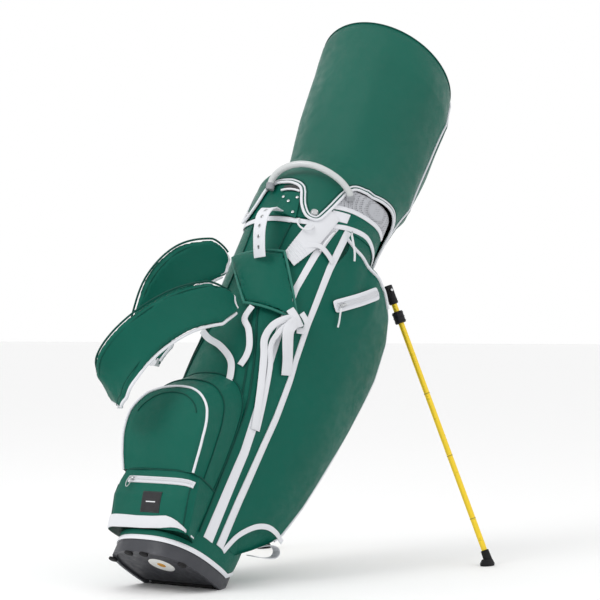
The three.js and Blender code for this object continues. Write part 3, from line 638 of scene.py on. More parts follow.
for side, hand in [(-1, "near"), (1, "far")]:
    sewn(skin(f"apparel_pocket_{hand}", 96, 110, pocket_ring(side), wrap=True, close=True), green_leather,
         f"side_pocket_{hand}", angle=60)
    edge = [(row[-1][0] + 0.5, side * (row[-1][1] - 1.0), z) for z, row in
            [(z, pocket_row(z))
             for z in [p[0] for p in smooth([(160, 0), (300, 0), (500, 0), (680, 0), (752, 0)], 8)]]]
    sewn(tube(f"pocket_back_piping_{hand}", edge, 2.4), white_leather)

    def binding(u, v, side=side):
        x, z = ARCH_LINE[round(v * (len(ARCH_LINE) - 1))]
        before, after = ARCH_LINE[max(0, round(v * 48) - 1)], ARCH_LINE[min(48, round(v * 48) + 1)]
        run = Vector((after[0] - before[0], after[1] - before[1])).normalized()
        across = Vector((-run.y, run.x)) * (u - 0.42) * 11
        px, pz = x + across.x, z + across.y
        return px, side * (max(pocket_y(x, z + 4), pocket_y(px, pz)) + 1.6), pz

    ARCH_LINE = smooth(ARCH, 8)
    sewn(skin(f"arch_binding_{hand}", 4, 48, binding, 1.8, bevel=0.5), white_leather)


# Zip on each apparel pocket: a white leatherette welt with round ends, sewn flat over the skin, with white
# zip tape and coil in its slit. The slider is plated steel, with a moulded white pull on a short loop.
ZIP = smooth([(-10, -143, 635), (39, -157.5, 688.5), (88, -156.5, 742)], 12)
ZIP_TILT = Vector((-8.5, 2.6, 8.5)).normalized()


def webbing_weave(material, rib=0.0016, depth=0.0005, strength=0.6):
    """Woven ribs across a strap and finer ones along it, sized in metres over the piece's own map."""
    tree, shader = nodes_of(material)
    where = add_node(tree, "UVMap")
    where.uv_map = "UVMap"
    heights = []
    for direction, scale in [("X", 1 / rib / 6.283), ("Y", 1 / rib / 3.1)]:
        wave = add_node(tree, "TexWave", Scale=scale)
        wave.wave_type, wave.bands_direction = "BANDS", direction
        tree.links.new(where.outputs["UV"], wave.inputs["Vector"])
        heights.append(wave)
    woven = add_node(tree, "Math", operation="MULTIPLY")
    tree.links.new(heights[0].outputs["Fac"], woven.inputs[0])
    tree.links.new(heights[1].outputs["Fac"], woven.inputs[1])
    raised = add_node(tree, "Bump", Strength=strength, Distance=depth)
    tree.links.new(woven.outputs["Value"], raised.inputs["Height"])
    tree.links.new(raised.outputs["Normal"], shader.inputs["Normal"])
    return material


white_webbing = webbing_weave(made_of("white_webbing", (0.66, 0.67, 0.70), 0.68, blotch=0.04, sheen=0.25))
zip_tape = webbing_weave(made_of("white_zip_tape", (0.62, 0.63, 0.66), 0.75, blotch=0.05, sheen=0.2), 0.0009,
                         0.0003)
moulded_white = cast_grain(made_of("white_moulding", (0.68, 0.69, 0.71), 0.4), 1200, 0.0002)


def zip_at(v, across, off):
    i = v * (len(ZIP) - 1)
    a, b = ZIP[min(int(i), len(ZIP) - 2)], ZIP[min(int(i), len(ZIP) - 2) + 1]
    spot = Vector(a).lerp(Vector(b), i - min(int(i), len(ZIP) - 2)) + ZIP_TILT * across
    skin_y = -pocket_y(spot.x, spot.z)
    return spot.x, min(spot.y, skin_y) - off, spot.z


def mirrored(place, side):
    def placed(u, v):
        x, y, z = place(u, v)
        return x, -side * y, z
    return placed


def rounded_welt(u, v):
    reach = 13.5 * (1 - abs(2 * v - 1) ** 16) ** 0.4
    return zip_at(v, (2 * u - 1) * max(reach, 0.6), 1.0 + 0.8 * math.sin(math.pi * u))


def welt_frame(u, v):
    angle = 2 * math.pi * v
    along = 0.5 + 0.44 * max(-1, min(1, 1.25 * math.cos(angle)))
    return zip_at(along, 6.4 * max(-1, min(1, 1.6 * math.sin(angle))), 2.6)


for side, hand in [(-1, "near"), (1, "far")]:
    sewn(skin(f"zip_welt_{hand}", 8, 60, mirrored(rounded_welt, side), 2.0, bevel=0.5), white_leather,
         f"side_zip_{hand}")
    ring = [mirrored(welt_frame, side)(0, i / 64) for i in range(64)]
    sewn(tube(f"zip_welt_fold_{hand}", ring, 0.8, closed=True), white_leather)
    sewn(skin(f"zip_tape_{hand}", 4, 50,
              mirrored(lambda u, v: zip_at(0.07 + 0.86 * v, (2 * u - 1) * 5.2, 2.0), side),
               0.6), zip_tape)
    coil = [mirrored(lambda u, v: zip_at(0.07 + 0.86 * v, 0.9 * math.sin(v * 420), 2.9), side)(0, i / 420)
            for i in range(421)]
    sewn(tube(f"zip_coil_{hand}", coil, 0.45, fine=0), moulded_white)
    stitches(f"zip_stitches_{hand}", [mirrored(rounded_welt, side)(0.1, i / 40) for i in range(2, 39)], "bag",
             thread_white, "white_webbing")
    seat = zip_at(0.13, 0, 4.2)
    ahead = zip_at(0.23, 0, 4.2)
    slider = tube(f"side_slider_{hand}", [(p[0], -side * p[1], p[2]) for p in smooth([seat, ahead], 4)], 3.1)
    apply(slider, "REMESH", mode="VOXEL", voxel_size=0.0007)
    dress(slider, steel, f"side_zip_slider_{hand}", "steel", f"side_zip_slider_{hand}")
    loop = [(seat[0] + 2 * math.cos(a), -side * (seat[1] - 3.2), seat[2] - 2 + 5 * math.sin(a))
            for a in [i * math.pi / 8 for i in range(16)]]
    dress(tube(f"side_slider_loop_{hand}", loop, 0.8, closed=True), steel, f"side_zip_slider_{hand}", "steel")
    hang = smooth([(seat[0] + 1, seat[1] - 3.4, seat[2] - 6), (seat[0] + 4, seat[1] - 4, seat[2] - 18),
                   (seat[0] + 11, seat[1] - 3, seat[2] - 32), (seat[0] + 15, seat[1] - 2, seat[2] - 44)], 6)
    pull = tube(f"side_pull_{hand}", [(p[0], -side * p[1], p[2]) for p in hang], 2.0)
    dress(pull, moulded_white, f"side_zip_slider_{hand}", "white_webbing")


# Lower pocket: a flat accessory pocket on the front, with a zip along its top, a plain woven label, and a
# band of white webbing that runs into the foot seam. Its slider is plated, with a wire pull.
LOWER_FRONT = [(38, 113), (62, 121), (98, 135), (128, 140), (152, 141)]
LOWER_HALF = [(38, 98), (62, 98), (100, 99), (128, 96), (152, 90)]


def front_ring(front, half, z, back_angle=-127):
    """Across a front pocket at one height: from the wall, round its near corner, over its face and back."""
    f, w = knots(front, z), knots(half, z)
    bx, by, _ = wall(z, back_angle, 0.4)
    corner = [(bx, by), (lerp(bx, -f, 0.35), lerp(by, -w, 0.6) - 3), (lerp(bx, -f, 0.72), -w - 2.5),
              (-f + 13, -w + 1), (-f + 2, -w + 10), (-f - 2, -w + 28), (-f - 4, -w * 0.34)]
    return smooth(corner + [(x, -y) for x, y in reversed(corner)], 5)


def along(line, t):
    i = min(int(t * (len(line) - 1)), len(line) - 2)
    part = t * (len(line) - 1) - i
    return tuple(lerp(a, b, part) for a, b in zip(line[i], line[i + 1]))


def front_x(front, half, y, z):
    """Where the face of a front pocket stands, at a place across it."""
    f, w = knots(front, z), knots(half, z)
    s = min(1.0, abs(y) / w)
    return -(f + 4 - 6 * s ** 4 - 8 * s ** 12)


def lower_ring(u, v):
    z = lerp(38, 152, v)
    x, y = along(front_ring(LOWER_FRONT, LOWER_HALF, z), u)
    return x + 1.6 * noise.noise(Vector((x / 40, y / 40, z / 40))), y, z


sewn(skin("accessory_pocket", 72, 44, lower_ring, close=True), green_leather, "lower_pocket", angle=60)


def on_lower(y, z, off):
    return front_x(LOWER_FRONT, LOWER_HALF, y, z) - off, y, z


def face_patch(name, across, low, high, off, thickness, cuts=(12, 6), bevel=0.4):
    """A flat piece sewn on the lower pocket's face, between two edges given as functions of the place across."""
    def place(u, v):
        y = lerp(across[0], across[1], u)
        return on_lower(y, lerp(low(y), high(y), v), off)
    return skin(name, *cuts, place, thickness, bevel=bevel)


zip_low, zip_high = (lambda y: 121.5), (lambda y: 135.5)
sewn(face_patch("lower_zip_tape", (-95, 62), zip_low, zip_high, 1.6, 2.0, (40, 6)), zip_tape,
     "lower_pocket_zip")
for edge, height in [("foot", 123.4), ("head", 133.6)]:
    line = [on_lower(lerp(-94, 61, i / 40), height, 1.9) for i in range(41)]
    sewn(tube(f"lower_zip_fold_{edge}", line, 1.1), white_leather)
coil = [on_lower(lerp(-92, 60, i / 500), 128.6 + 0.9 * math.sin(i * 0.9), 2.6) for i in range(501)]
sewn(tube("lower_zip_coil", coil, 0.45, fine=0), moulded_white)
body_of_slider = tube("lower_slider", [on_lower(y, 128.6, 4.6) for y in (46, 49, 53, 57)], 3.6)
apply(body_of_slider, "REMESH", mode="VOXEL", voxel_size=0.0007)
dress(body_of_slider, steel, "lower_zip_slider", "steel", "lower_zip_slider")
pull_ring = [(on_lower(52, 128, 8)[0] - 1.5 * math.sin(a), 52 + 3.6 * math.sin(a), 118 + 11 * math.cos(a))
             for a in [i * math.pi / 12 for i in range(24)]]
dress(tube("lower_slider_pull", pull_ring, 0.9, closed=True), steel, "lower_zip_slider", "steel")

woven_label = webbing_weave(made_of("black_woven_label", (0.016, 0.016, 0.018), 0.75, sheen=0.2), 0.0007,
                            0.0002)
dress(face_patch("plain_label", (-33, 14), lambda y: 66, lambda y: 105, 1.3, 1.0, (10, 10)), woven_label,
      "bag",
      "lining", "blank_patch")
sewn(face_patch("label_print", (-20, 3), lambda y: 84.5, lambda y: 86.5, 1.5, 0.3, (8, 2), 0), moulded_white)
label_hem = [on_lower(y, z, 1.5) for y, z in
             [(lerp(-31, 12, i / 12), 68) for i in range(13)] + [(12, lerp(68, 103, i / 10))
                                                                 for i in range(11)] +
             [(lerp(12, -31, i / 12), 103) for i in range(13)] + [(-31, lerp(103, 68, i / 10))
                                                                  for i in range(11)]]
stitches("label_stitches", label_hem, "bag", thread_green, "lining", 3.0, 2.0)

BAND_HEAD = [(-108, 42), (-96, 47), (-80, 55), (-66, 60), (-52, 62.5), (-20, 60), (20, 59), (60, 60),
             (97, 61)]
BAND_FOOT = [(-108, 40), (-96, 41), (-84, 43), (-70, 42.5), (-44, 39), (0, 36.5), (60, 36), (97, 37)]


def lower_band(u, v):
    y = lerp(-107, 96, u)
    z = lerp(knots(BAND_FOOT, y), knots(BAND_HEAD, y), v)
    x = front_x(LOWER_FRONT, LOWER_HALF, max(-97, min(95, y)), z)
    if y < -94:
        x += 1.9 * (-94 - y)
        y = lerp(-94, y, 0.6)
    return x - 1.8 - 1.5 * math.sin(math.pi * v), y, z


sewn(skin("lower_band", 48, 6, lower_band, 1.6, bevel=0.4), white_webbing, "lower_pocket_band")
for angle_side in (-1, 1):
    seam = [along(front_ring(LOWER_FRONT, LOWER_HALF, z), 0.29 if angle_side < 0 else 0.71) + (z,)
            for z in range(44, 121, 4)]
    sewn(tube(f"lower_side_piping_{'near' if angle_side < 0 else 'far'}", seam, 1.4), green_piping)


# Ball pocket: a deep round-topped pocket above. Its gusset leaves the wall at the panel seams, and its face
# is a separate panel edged with white piping all round its arch, with a slip opening just below the top.
BALL_FRONT = [(145, 141), (175, 156), (215, 172), (260, 184), (300, 190), (322, 186), (342, 168), (380, 132)]
FACE = smooth([(150, 89), (185, 97), (225, 102), (255, 100), (278, 90), (300, 68), (314, 40), (319, 14),
               (320, 0)], 5)
face_edge = [(y, z) for z, y in FACE] + [(-y, z) for z, y in reversed(FACE[:-1])]
GUSSET = smooth([(150, -127.5), (220, -127.5), (290, -129.5), (345, -134), (380, -146), (392, -163),
                 (394, -180)], 7)
wall_edge = [(a, z) for z, a in GUSSET] + [(-360 - a, z) for z, a in reversed(GUSSET[:-1])]


def ball_skin(u, v):
    y, z = along(face_edge, u)
    angle, high = along(wall_edge, u)
    y = -y
    face_x = -knots(BALL_FRONT, z) + 3
    wx, wy, wz = wall(high, angle, 0.4)
    if v < 0.5:
        t = v / 0.5
        swell = math.sin(math.pi * t) * 5
        return lerp(wx, face_x,
                    t), lerp(wy, y, ease(t) * 0.6 + 0.4 * t) * (1 + swell / 130), lerp(wz, z, t) + swell * 0.5
    t = (v - 0.5) / 0.5
    centre_z = min(z, 236)
    fy, fz = lerp(y, -4, t), lerp(z, centre_z, t)
    crown = 8 * math.sin(0.5 * math.pi * t) * ease((fz - 148) / 60)
    fx = -knots(BALL_FRONT, fz) + 3 - crown - 3 * ease(t * 6)
    return fx + 1.8 * noise.noise(Vector((fy / 46, fz / 60, 3.1))), fy, fz


sewn(skin("ball_pocket_shell", 104, 44, ball_skin, wrap=True, close=True), green_leather,
      "ball_pocket", angle=60)
piped = [ball_skin(i / 104, 0.505) for i in range(105)]
sewn(tube("ball_face_piping", [(x - 1.6, y, z) for x, y, z in piped], 2.5), white_leather)
for share, label in [(0.03, "wall"), (0.3, "middle")]:
    line = [ball_skin(i / 104, share) for i in range(105)]
    out = [(x - 0.8, y * 1.006, z + 0.6) for x, y, z in line]
    sewn(tube(f"ball_gusset_piping_{label}", out, 1.5), green_piping)
foot_line = [along(front_ring(LOWER_FRONT, LOWER_HALF, 151), i / 60) + (151.5,) for i in range(61)]
sewn(tube("pocket_seam_piping", foot_line, 2.2), green_piping)
slip = [ball_skin(i / 104, 0.62) for i in range(22, 83)]
sewn(tube("ball_slip_seam", [(x - 0.5, y, z) for x, y, z in slip], 1.2), green_piping)
stitches("ball_face_stitches", [ball_skin(i / 104, 0.545) for i in range(105)], "bag", thread_green,
         "green_leatherette")


# Cuff: a stiff collar round the mouth, bound above and below in white, with a padded mesh grip on each side
# and a white patch where the webbing is sewn in.
def cuff_head(x):
    return 905 + 0.24 * x


sewn(skin("cuff_collar", 120, 14, tube_wall(3, cuff_foot, cuff_head), 8, wrap=True, bevel=1.2), green_leather,
     "top_cuff")
CUFF_BAND = smooth([(-200, 771), (-180, 772), (-158, 772), (-142, 778), (-126, 790), (-113, 805), (-97, 820),
                    (-85, 827),
                    (-70, 826), (-58, 822), (-46, 812)], 4)
UPPER_BAND = smooth([(-139, 822), (-131, 832), (-114, 847), (-92, 861), (-76, 870), (-58, 874)], 5)


def band_place(line, width, off, side):
    def place(u, v):
        angle, z = along(line, v)
        crown = 1.0 * math.sin(math.pi * u)
        return wall(z + (u - 0.5) * width, -side * angle, off + crown)
    return place


def open_mesh(material, pitch=0.0042):
    """Rows of small round holes in a knitted spacer mesh, their dark grey painted shade inside the holes."""
    tree, shader = nodes_of(material)
    where = add_node(tree, "TexCoord")
    holes = add_node(tree, "TexVoronoi", Scale=1 / pitch)
    holes.inputs["Randomness"].default_value = 0.15
    sized = add_node(tree, "MapRange")
    sized.inputs["From Min"].default_value, sized.inputs["From Max"].default_value = 0.22, 0.42
    raised = add_node(tree, "Bump", Strength=0.8, Distance=0.001)
    shade = add_node(tree, "MixRGB")
    old = shader.inputs["Base Color"].links[0].from_socket
    tree.links.new(where.outputs["Object"], holes.inputs["Vector"])
    tree.links.new(holes.outputs["Distance"], sized.inputs["Value"])
    tree.links.new(sized.outputs["Result"], shade.inputs["Fac"])
    tree.links.new(sized.outputs["Result"], raised.inputs["Height"])
    # the dark grey in the holes is painted shade
    shade.inputs["Color1"].default_value = (0.16, 0.165, 0.18, 1)
    tree.links.new(old, shade.inputs["Color2"])
    tree.links.new(shade.outputs["Color"], shader.inputs["Base Color"])
    tree.links.new(raised.outputs["Normal"], shader.inputs["Normal"])
    return material


grey_mesh = open_mesh(made_of("grey_spacer_mesh", (0.42, 0.43, 0.46), 0.85, sheen=0.2))
for side, hand in [(-1, "near"), (1, "far")]:
    sewn(skin(f"cuff_band_{hand}", 5, 60, band_place(CUFF_BAND, 12, 3.6, side), 2.4, bevel=0.6),
         white_leather)
    sewn(skin(f"cuff_upper_band_{hand}", 5, 40, band_place(UPPER_BAND, 11, 5.0, side), 2.6, bevel=0.6),
         white_leather)

    def patch(u, v, side=side):
        angle = lerp(-129.5, -113.5, u)
        z = lerp(lerp(800, 815, u), lerp(825, 838, u), v)
        return wall(z, -side * angle, 4.4)

    sewn(skin(f"cuff_patch_{hand}", 6, 6, patch, 1.6, bevel=0.4), white_leather)

    def grip(u, v, side=side):
        angle = lerp(-134, -56, u)
        low = knots(UPPER_BAND, angle) + 4
        z = lerp(low, low + 44, v)
        crown = 4.5 * (1 - abs(2 * u - 1) ** 4) * (1 - abs(2 * v - 1) ** 4)
        return wall(z, -side * angle, 5.0 + crown)

    pad = dress(skin(f"mesh_grip_{hand}", 30, 12, grip, 3.0, bevel=0.6), grey_mesh, "bag", "lining")

# white piping along the head of each apparel pocket, from under the cuff to the back piping
for side, hand in [(-1, "near"), (1, "far")]:
    top_line = smooth([(-38, 788), (0, 780), (44, 776), (86, 774), (118, 768), (140, 754), (152, 747)], 5)
    line = [(x, side * (pocket_y(x, z - 3) + 1.2), z) for x, z in top_line]
    sewn(tube(f"pocket_top_piping_{hand}", line, 3.6), white_leather)


# Mouth: a moulded frame with two cross bars and a spine divides it into six, and five cloth dividers hang
# from it, each a hemmed sheet of black fleece. The stays below it and the leg pins are plain steel.
eased_copy("mouth_frame", "mouth_frame_moulding", black_plastic, "bag", "black_plastic", 0.001)
# this black fleece also serves as painted shade in the belt's eyelet holes and in the handle slot
divider_cloth = cast_grain(made_of("black_fleece_and_painted_shade", (0.02, 0.021, 0.023), 0.95, sheen=0.5), 1800, 0.0008, 0.8)
SPANS = {"divider_cloth_front": ((-42, -111), (-42, 111)), "divider_cloth_rear": ((42, -111), (42, 111)),
         "divider_cloth_centre_front": ((-107, 0), (-45, 0)),
         "divider_cloth_centre_middle": ((-38.8, 0), (38.8, 0)),
         "divider_cloth_centre_rear": ((45, 0), (107, 0))}
for node, ((x0, y0), (x1, y1)) in SPANS.items():
    across_x = 0 if x0 == x1 else 1

    def hanging(u, v, x0=x0, y0=y0, x1=x1, y1=y1, across_x=across_x):
        x, y = lerp(x0, x1, u), lerp(y0, y1, u)
        z = lerp(680, 868 + 0.24 * x, v)
        ripple = 1.6 * (1 - v) * math.sin(u * 9 + x0) + 0.7 * noise.noise(Vector((x / 40, y / 40, z / 60)))
        return x + ripple * (1 - across_x), y + ripple * across_x, z

    cloth = skin(node.replace("divider_cloth", "divider"), 40, 30, hanging, 1.8, offset=0, bevel=0.3,
                 flip=False)
    sewn(cloth, divider_cloth, node)
for name in ["spine_stay_front", "spine_stay_near", "spine_stay_far", "leg_pin_near", "leg_pin_far"]:
    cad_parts[name].data.materials.clear()
    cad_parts[name].data.materials.append(steel)


# Belt: a strap of white leatherette with steel eyelets, from a riveted green cover on the cuff down to the
# strap hub. A slot with a white lip lies above the cover, under the carry handle; its dark opening is a
# flat sheet of painted shade.
def strip_between(points, tilts, width, lift=0.0):
    """A place on a strap: its middle line, the way its width points, and how wide it is along its length."""
    line, ways = smooth(points, 8), smooth(tilts, 8)

    def place(u, v):
        here = Vector(along(line, v))
        before, after = Vector(along(line, max(0, v - 0.01))), Vector(along(line, min(1, v + 0.01)))
        run = (after - before).normalized()
        way = Vector(along(ways, v))
        way = (way - run * way.dot(run)).normalized()
        wide = width(v) if callable(width) else width
        up = way.cross(run) * lift * math.sin(math.pi * u)
        return tuple(here + way * (u - 0.5) * wide + up)
    return place


BELT = [(-148, -12, 784), (-174, -19, 768), (-190, -27, 738), (-188, -32, 704), (-174, -36, 672),
        (-160, -38, 652)]
belt_place = strip_between(BELT, [(0.25, 1, 0.2)] * 6, 39)
sewn(skin("eyelet_belt", 6, 48, belt_place, 2.4, offset=0, bevel=0.5), white_leather, "belt_with_eyelets")
stitches("belt_stitches_near", [belt_place(0.1, i / 40) for i in range(41)], "bag", thread_white,
         "white_webbing")
for count, v in enumerate([0.3, 0.43, 0.56, 0.69, 0.82]):
    here, beside = Vector(belt_place(0.5, v)), Vector(belt_place(0.9, v)) - Vector(belt_place(0.5, v))
    onward = Vector(belt_place(0.5, v + 0.02)) - here
    out = beside.cross(onward).normalized()
    out = out if out.x < 0 else -out
    eyelet = [tuple(here + out * 1.7 + 3.4 * (beside.normalized() * math.cos(a) + onward.normalized() * math.sin(a)))
              for a in [i * math.pi / 8 for i in range(16)]]
    sewn(tube(f"belt_eyelet_{count}", eyelet, 1.0, closed=True), steel)
    # a dark disc inside each eyelet is painted shade for the hole
    sewn(disc(f"belt_hole_shade_{count}", tuple(here + out * 1.0), tuple(out), 2.6, 0.6, sides=16, rim=0.1),
          divider_cloth)


def cover(u, v):
    angle = lerp(lerp(-179, -176, v), lerp(-156, -160, v), u)
    return wall(lerp(lerp(786, 776, u), 838, v), angle, 7.5 + 1.2 * math.sin(math.pi * u))


sewn(skin("belt_cover", 10, 14, cover, 3.0, bevel=0.8), green_leather)
for count, (u, v) in enumerate([(0.14, 0.72), (0.5, 0.55), (0.86, 0.78), (0.84, 0.16)]):
    x, y, z = cover(u, v)
    sewn(disc(f"cover_rivet_{count}", (x * 1.002, y * 1.002, z), (x, y, 0), 3.4, 2.2, sides=20, rim=1.0),
         steel)


# the slot's dark opening: a flat sheet of painted shade laid on the cuff
def slot_shade_sheet(u, v):
    return wall(843 + 11 * v + 3 * math.sin(math.pi * u), lerp(-179, -163, u), 7.4)


sewn(skin("handle_slot", 10, 4, slot_shade_sheet, 1.2), divider_cloth)
lip = [wall(842 + 3 * math.sin(math.pi * i / 12), lerp(-180, -162, i / 12), 8) for i in range(13)]
sewn(tube("handle_slot_lip", lip, 2.4), white_leather)


# Buckle strap: wide white webbing sewn under the cuff's lower band, with a ribbed lower end, and the loose
# webbing below it, laid along the wall. A moulded white loop and two zip pulls hang beside it.
def buckle(u, v):
    left = knots([(0, (688, -154)), (1, (826, -139))], v)
    right = knots([(0, (668, -141.5)), (0.45, (724, -130)), (1, (812, -121))], v)
    z, angle = lerp(left[0], right[0], u), lerp(left[1], right[1], u)
    ribs = 0.9 * math.sin(v * 120) if 0.05 < v < 0.3 else 0
    return wall(z, angle, 6.5 + ribs + 1.0 * math.sin(math.pi * u))


sewn(skin("buckle_webbing", 8, 110, buckle, 2.2, bevel=0.4), white_webbing, "buckle_strap")


def wall_ribbon(points, width):
    """Webbing laid over the wall through points given as height, angle and stand-off."""
    line = [wall(z, a, off) for z, a, off in smooth(points, 8)]

    def place(u, v):
        here = Vector(along(line, v))
        run = (Vector(along(line, min(1, v + 0.02))) - Vector(along(line, max(0, v - 0.02)))).normalized()
        out = Vector((here.x, here.y, 0)).normalized()
        way = run.cross(out).normalized()
        return tuple(here + way * (u - 0.5) * width + out * 0.7 * math.sin(math.pi * u))
    return place


WEBBINGS = [
    ("buckle_tail", [(716, -141, 7), (728, -134, 8), (732, -127, 9), (727, -119, 7), (718, -110, 4)], 12),
    ("webbing_tail_upper", [(548, -160, 16), (520, -163, 12), (498, -156, 10), (465, -150, 9), (441, -149, 7),
                            (418, -151, 5)], 13),
    ("webbing_tail_lower", [(480, -196, 26), (462, -187, 22), (448, -174, 16), (424, -161, 11),
                            (397, -156, 8), (362, -154, 5)], 14),
    ("towel_strap_upper", [(556, -124, 18), (541, -131, 22), (517, -138, 20), (486, -140, 14), (453, -135, 9),
                           (384, -126, 6), (306, -116, 4)], 15),
    ("towel_strap_lower", [(558, -121, 15), (536, -127, 28), (505, -132, 24), (478, -133, 12),
                           (440, -126.5, 7), (380, -120, 5), (308, -112.5, 4)], 11),
    ("towel_strap_fold", [(560, -118, 14), (540, -124, 26), (516, -126, 30), (490, -121, 22), (466, -114, 12),
                          (444, -108.5, 6)], 24),
    ("towel_strap_keeper", [(572, -121, 19), (560, -113, 18), (546, -112, 14), (538, -118, 10)], 13),
    ("hub_tab", [(566, -131, 20), (552, -123, 21), (540, -119, 18)], 18)]
for name, points, width in WEBBINGS:
    sewn(skin(name, 4, 60, wall_ribbon(points, width), 1.7, bevel=0.4), white_webbing)

RING = [(776, -153, 7), (764, -152.5, 13), (753, -149, 17), (749, -145, 18), (754, -141, 16), (768, -139, 8)]
ring = [wall(z, a, off) for z, a, off in smooth(RING, 5)]
sewn(tube("accessory_ring", ring, 2.0), moulded_white)

for name, spots in [("cuff_pull_front", [(779, -121, 5), (765, -123, 7), (745, -125, 7), (724, -126, 6)]),
                    ("cuff_pull_rear", [(797, -109, 8), (782, -104, 9), (766, -98, 9), (752, -94, 8)])]:
    line = [wall(z, a, off) for z, a, off in smooth(spots, 5)]
    if name == "cuff_pull_rear":
        line = [(x, y - 6, z) for x, y, z in line]
    sewn(tube(name, line, 2.4), moulded_white)
    top = Vector(line[0])
    loop = [tuple(top + Vector((2.5 * math.sin(a), -1.0, 4.5 * math.cos(a))))
            for a in [i * math.pi / 8 for i in range(16)]]
    sewn(tube(f"{name}_ring", loop, 0.9, closed=True), steel)


# Strap hub: a padded green plate that joins the straps high on the spine, piped round its edge. It is foam
# under leatherette, so it is filled a little and swells between its seams.
def stuffed(piece, cap=0.005, pressure=4.0, voxel=0.0045):
    """Swells a closed pad a little, as its filling does: a cloth skin under even pressure, with no gravity."""
    apply(piece, "REMESH", mode="VOXEL", voxel_size=voxel)
    rest = [v.co.copy() for v in piece.data.vertices]
    alone(piece)
    bpy.ops.object.modifier_add(type="CLOTH")
    cloth = piece.modifiers["Cloth"]
    cloth.settings.use_pressure = True
    cloth.settings.uniform_pressure_force = pressure
    cloth.settings.effector_weights.gravity = 0
    cloth.point_cache.frame_end = 20
    for step in range(1, 21):
        bpy.context.scene.frame_set(step)
    bpy.ops.object.modifier_apply(modifier="Cloth")
    bpy.context.scene.frame_set(1)
    for vertex, start in zip(piece.data.vertices, rest):
        moved = vertex.co - start
        if moved.length > cap:
            vertex.co = start + moved * (cap / moved.length)
    apply(piece, "SMOOTH", factor=0.5, iterations=3)
    apply(piece, "SUBSURF", levels=1, render_levels=1)
    return piece


def hub(u, v):
    low = (lerp(555, 553, u), lerp(-169, -121, u))
    high = (lerp(673, 689, u), lerp(-204, -153, u))
    z, angle = lerp(low[0], high[0], v), lerp(low[1], high[1], v)
    pinch = 3.0 * (1 - abs(2 * u - 1) ** 6) * (1 - abs(2 * v - 1) ** 6)
    return wall(z, angle, 13 + pinch)


pad = skin("hub_pad", 22, 24, hub, 5.0, offset=0)
sewn(stuffed(pad, 0.003), green_leather, "strap_hub", angle=60)
rim = ([hub(i / 14, 0) for i in range(15)] + [hub(1, i / 16) for i in range(1, 17)] +
       [hub(1 - i / 14, 1) for i in range(1, 15)] + [hub(0, 1 - i / 16) for i in range(1, 16)])
pale_green = leather_grain(made_of("pale_green_binding", (0.02, 0.16, 0.12), 0.45), 900, 0.0003)
dress(tube("hub_binding", rim, 3.1, closed=True), pale_green, "bag", "green_leatherette")
stitches("hub_stitches", [(p[0] * 1.03, p[1] * 1.03, p[2]) for p in
                          [hub(0.06 + 0.88 * i / 20, 0.05) for i in range(21)]], "bag", thread_green,
         "green_leatherette")


# Shoulder straps: two padded straps of green leatherette over foam, bound along their lower edge in white,
# each sewn to the hub and to the side of the ball pocket by a short webbing tab.
STRAPS = [("front", [(-157, -26, 541), (-205, -22, 507), (-262, -10, 450), (-300, 8, 385), (-318, 28, 322),
                     (-312, 48, 275), (-282, 66, 248), (-240, 80, 236)],
           [(0.55, -0.35, -0.75 + 0.04 * i) for i in range(8)], (0.035, 0.93)),
          ("rear", [(-158, 34, 634), (-196, 52, 618), (-230, 74, 580), (-236, 96, 525), (-214, 112, 470),
                    (-184, 124, 425), (-150, 130, 390)], [(0.7, -0.1, -0.7)] * 7, (0.05, 0.94))]


def strap_width(v):
    return 32 + 60 * min(1.0, math.sin(math.pi * clamp(v)) * 2.2)


for name, points, ways, ends in STRAPS:
    place = strip_between(points, ways, strap_width, lift=5)
    strap = skin(f"shoulder_strap_{name}_pad", 18, 80, place, 9.0, offset=0, bevel=2.5)
    sewn(stuffed(strap, 0.004), green_leather, f"shoulder_strap_{name}", angle=60)
    for edge, u, radius, cover_of in [("lower", 1.0, 3.4, white_leather), ("upper", 0.0, 2.2, green_piping)]:
        line = [place(u, lerp(*ends, i / 60)) for i in range(61)]
        dress(tube(f"strap_binding_{name}_{edge}", line, radius), cover_of, "bag", "white_leatherette")
    for edge, u in [("lower", 0.86), ("upper", 0.12)]:
        for face in (-1, 1):
            fine = []
            for i in range(61):
                v = lerp(0.06, 0.94, i / 60)
                here = Vector(place(u, v))
                side_way = Vector(place(u + 0.05, v)) - here
                run = Vector(place(u, min(1, v + 0.01))) - here
                fine.append(tuple(here + side_way.cross(run).normalized() * 6.6 * face))
            sewn(tube(f"strap_channel_{name}_{edge}_{'out' if face > 0 else 'in'}", fine, 0.8, fine=1),
                 green_piping)
    for end, low, high in [("head", 0.0, 0.075), ("foot", 0.93, 1.0)]:
        tab = skin(f"strap_tab_{name}_{end}", 6, 12,
                   lambda u, v, low=low, high=high: place(0.5 + (u - 0.5) * 0.86, lerp(low, high, v)), 11.5,
                   offset=0, bevel=1.2)
        sewn(tab, white_webbing)


# Leg tie: a short loop of soft grey webbing under the leg-side foot, which holds the legs when they are
# folded. It is woven flat and sewn at both ends.
TIE = [(96, -86, 122), (118, -90, 142), (142, -93, 158), (160, -93, 163), (171, -92, 158), (170, -90, 147),
       (156, -88, 136), (132, -86, 124), (108, -84, 114)]
grey_webbing = webbing_weave(made_of("pale_grey_webbing", (0.62, 0.63, 0.66), 0.7, sheen=0.2))
tie_place = strip_between(TIE, [(0.1, 1, 0.1)] * 9, 20)
dress(skin("leg_tie", 4, 60, tie_place, 1.6, offset=0, bevel=0.4), grey_webbing, "bag", "white_webbing")


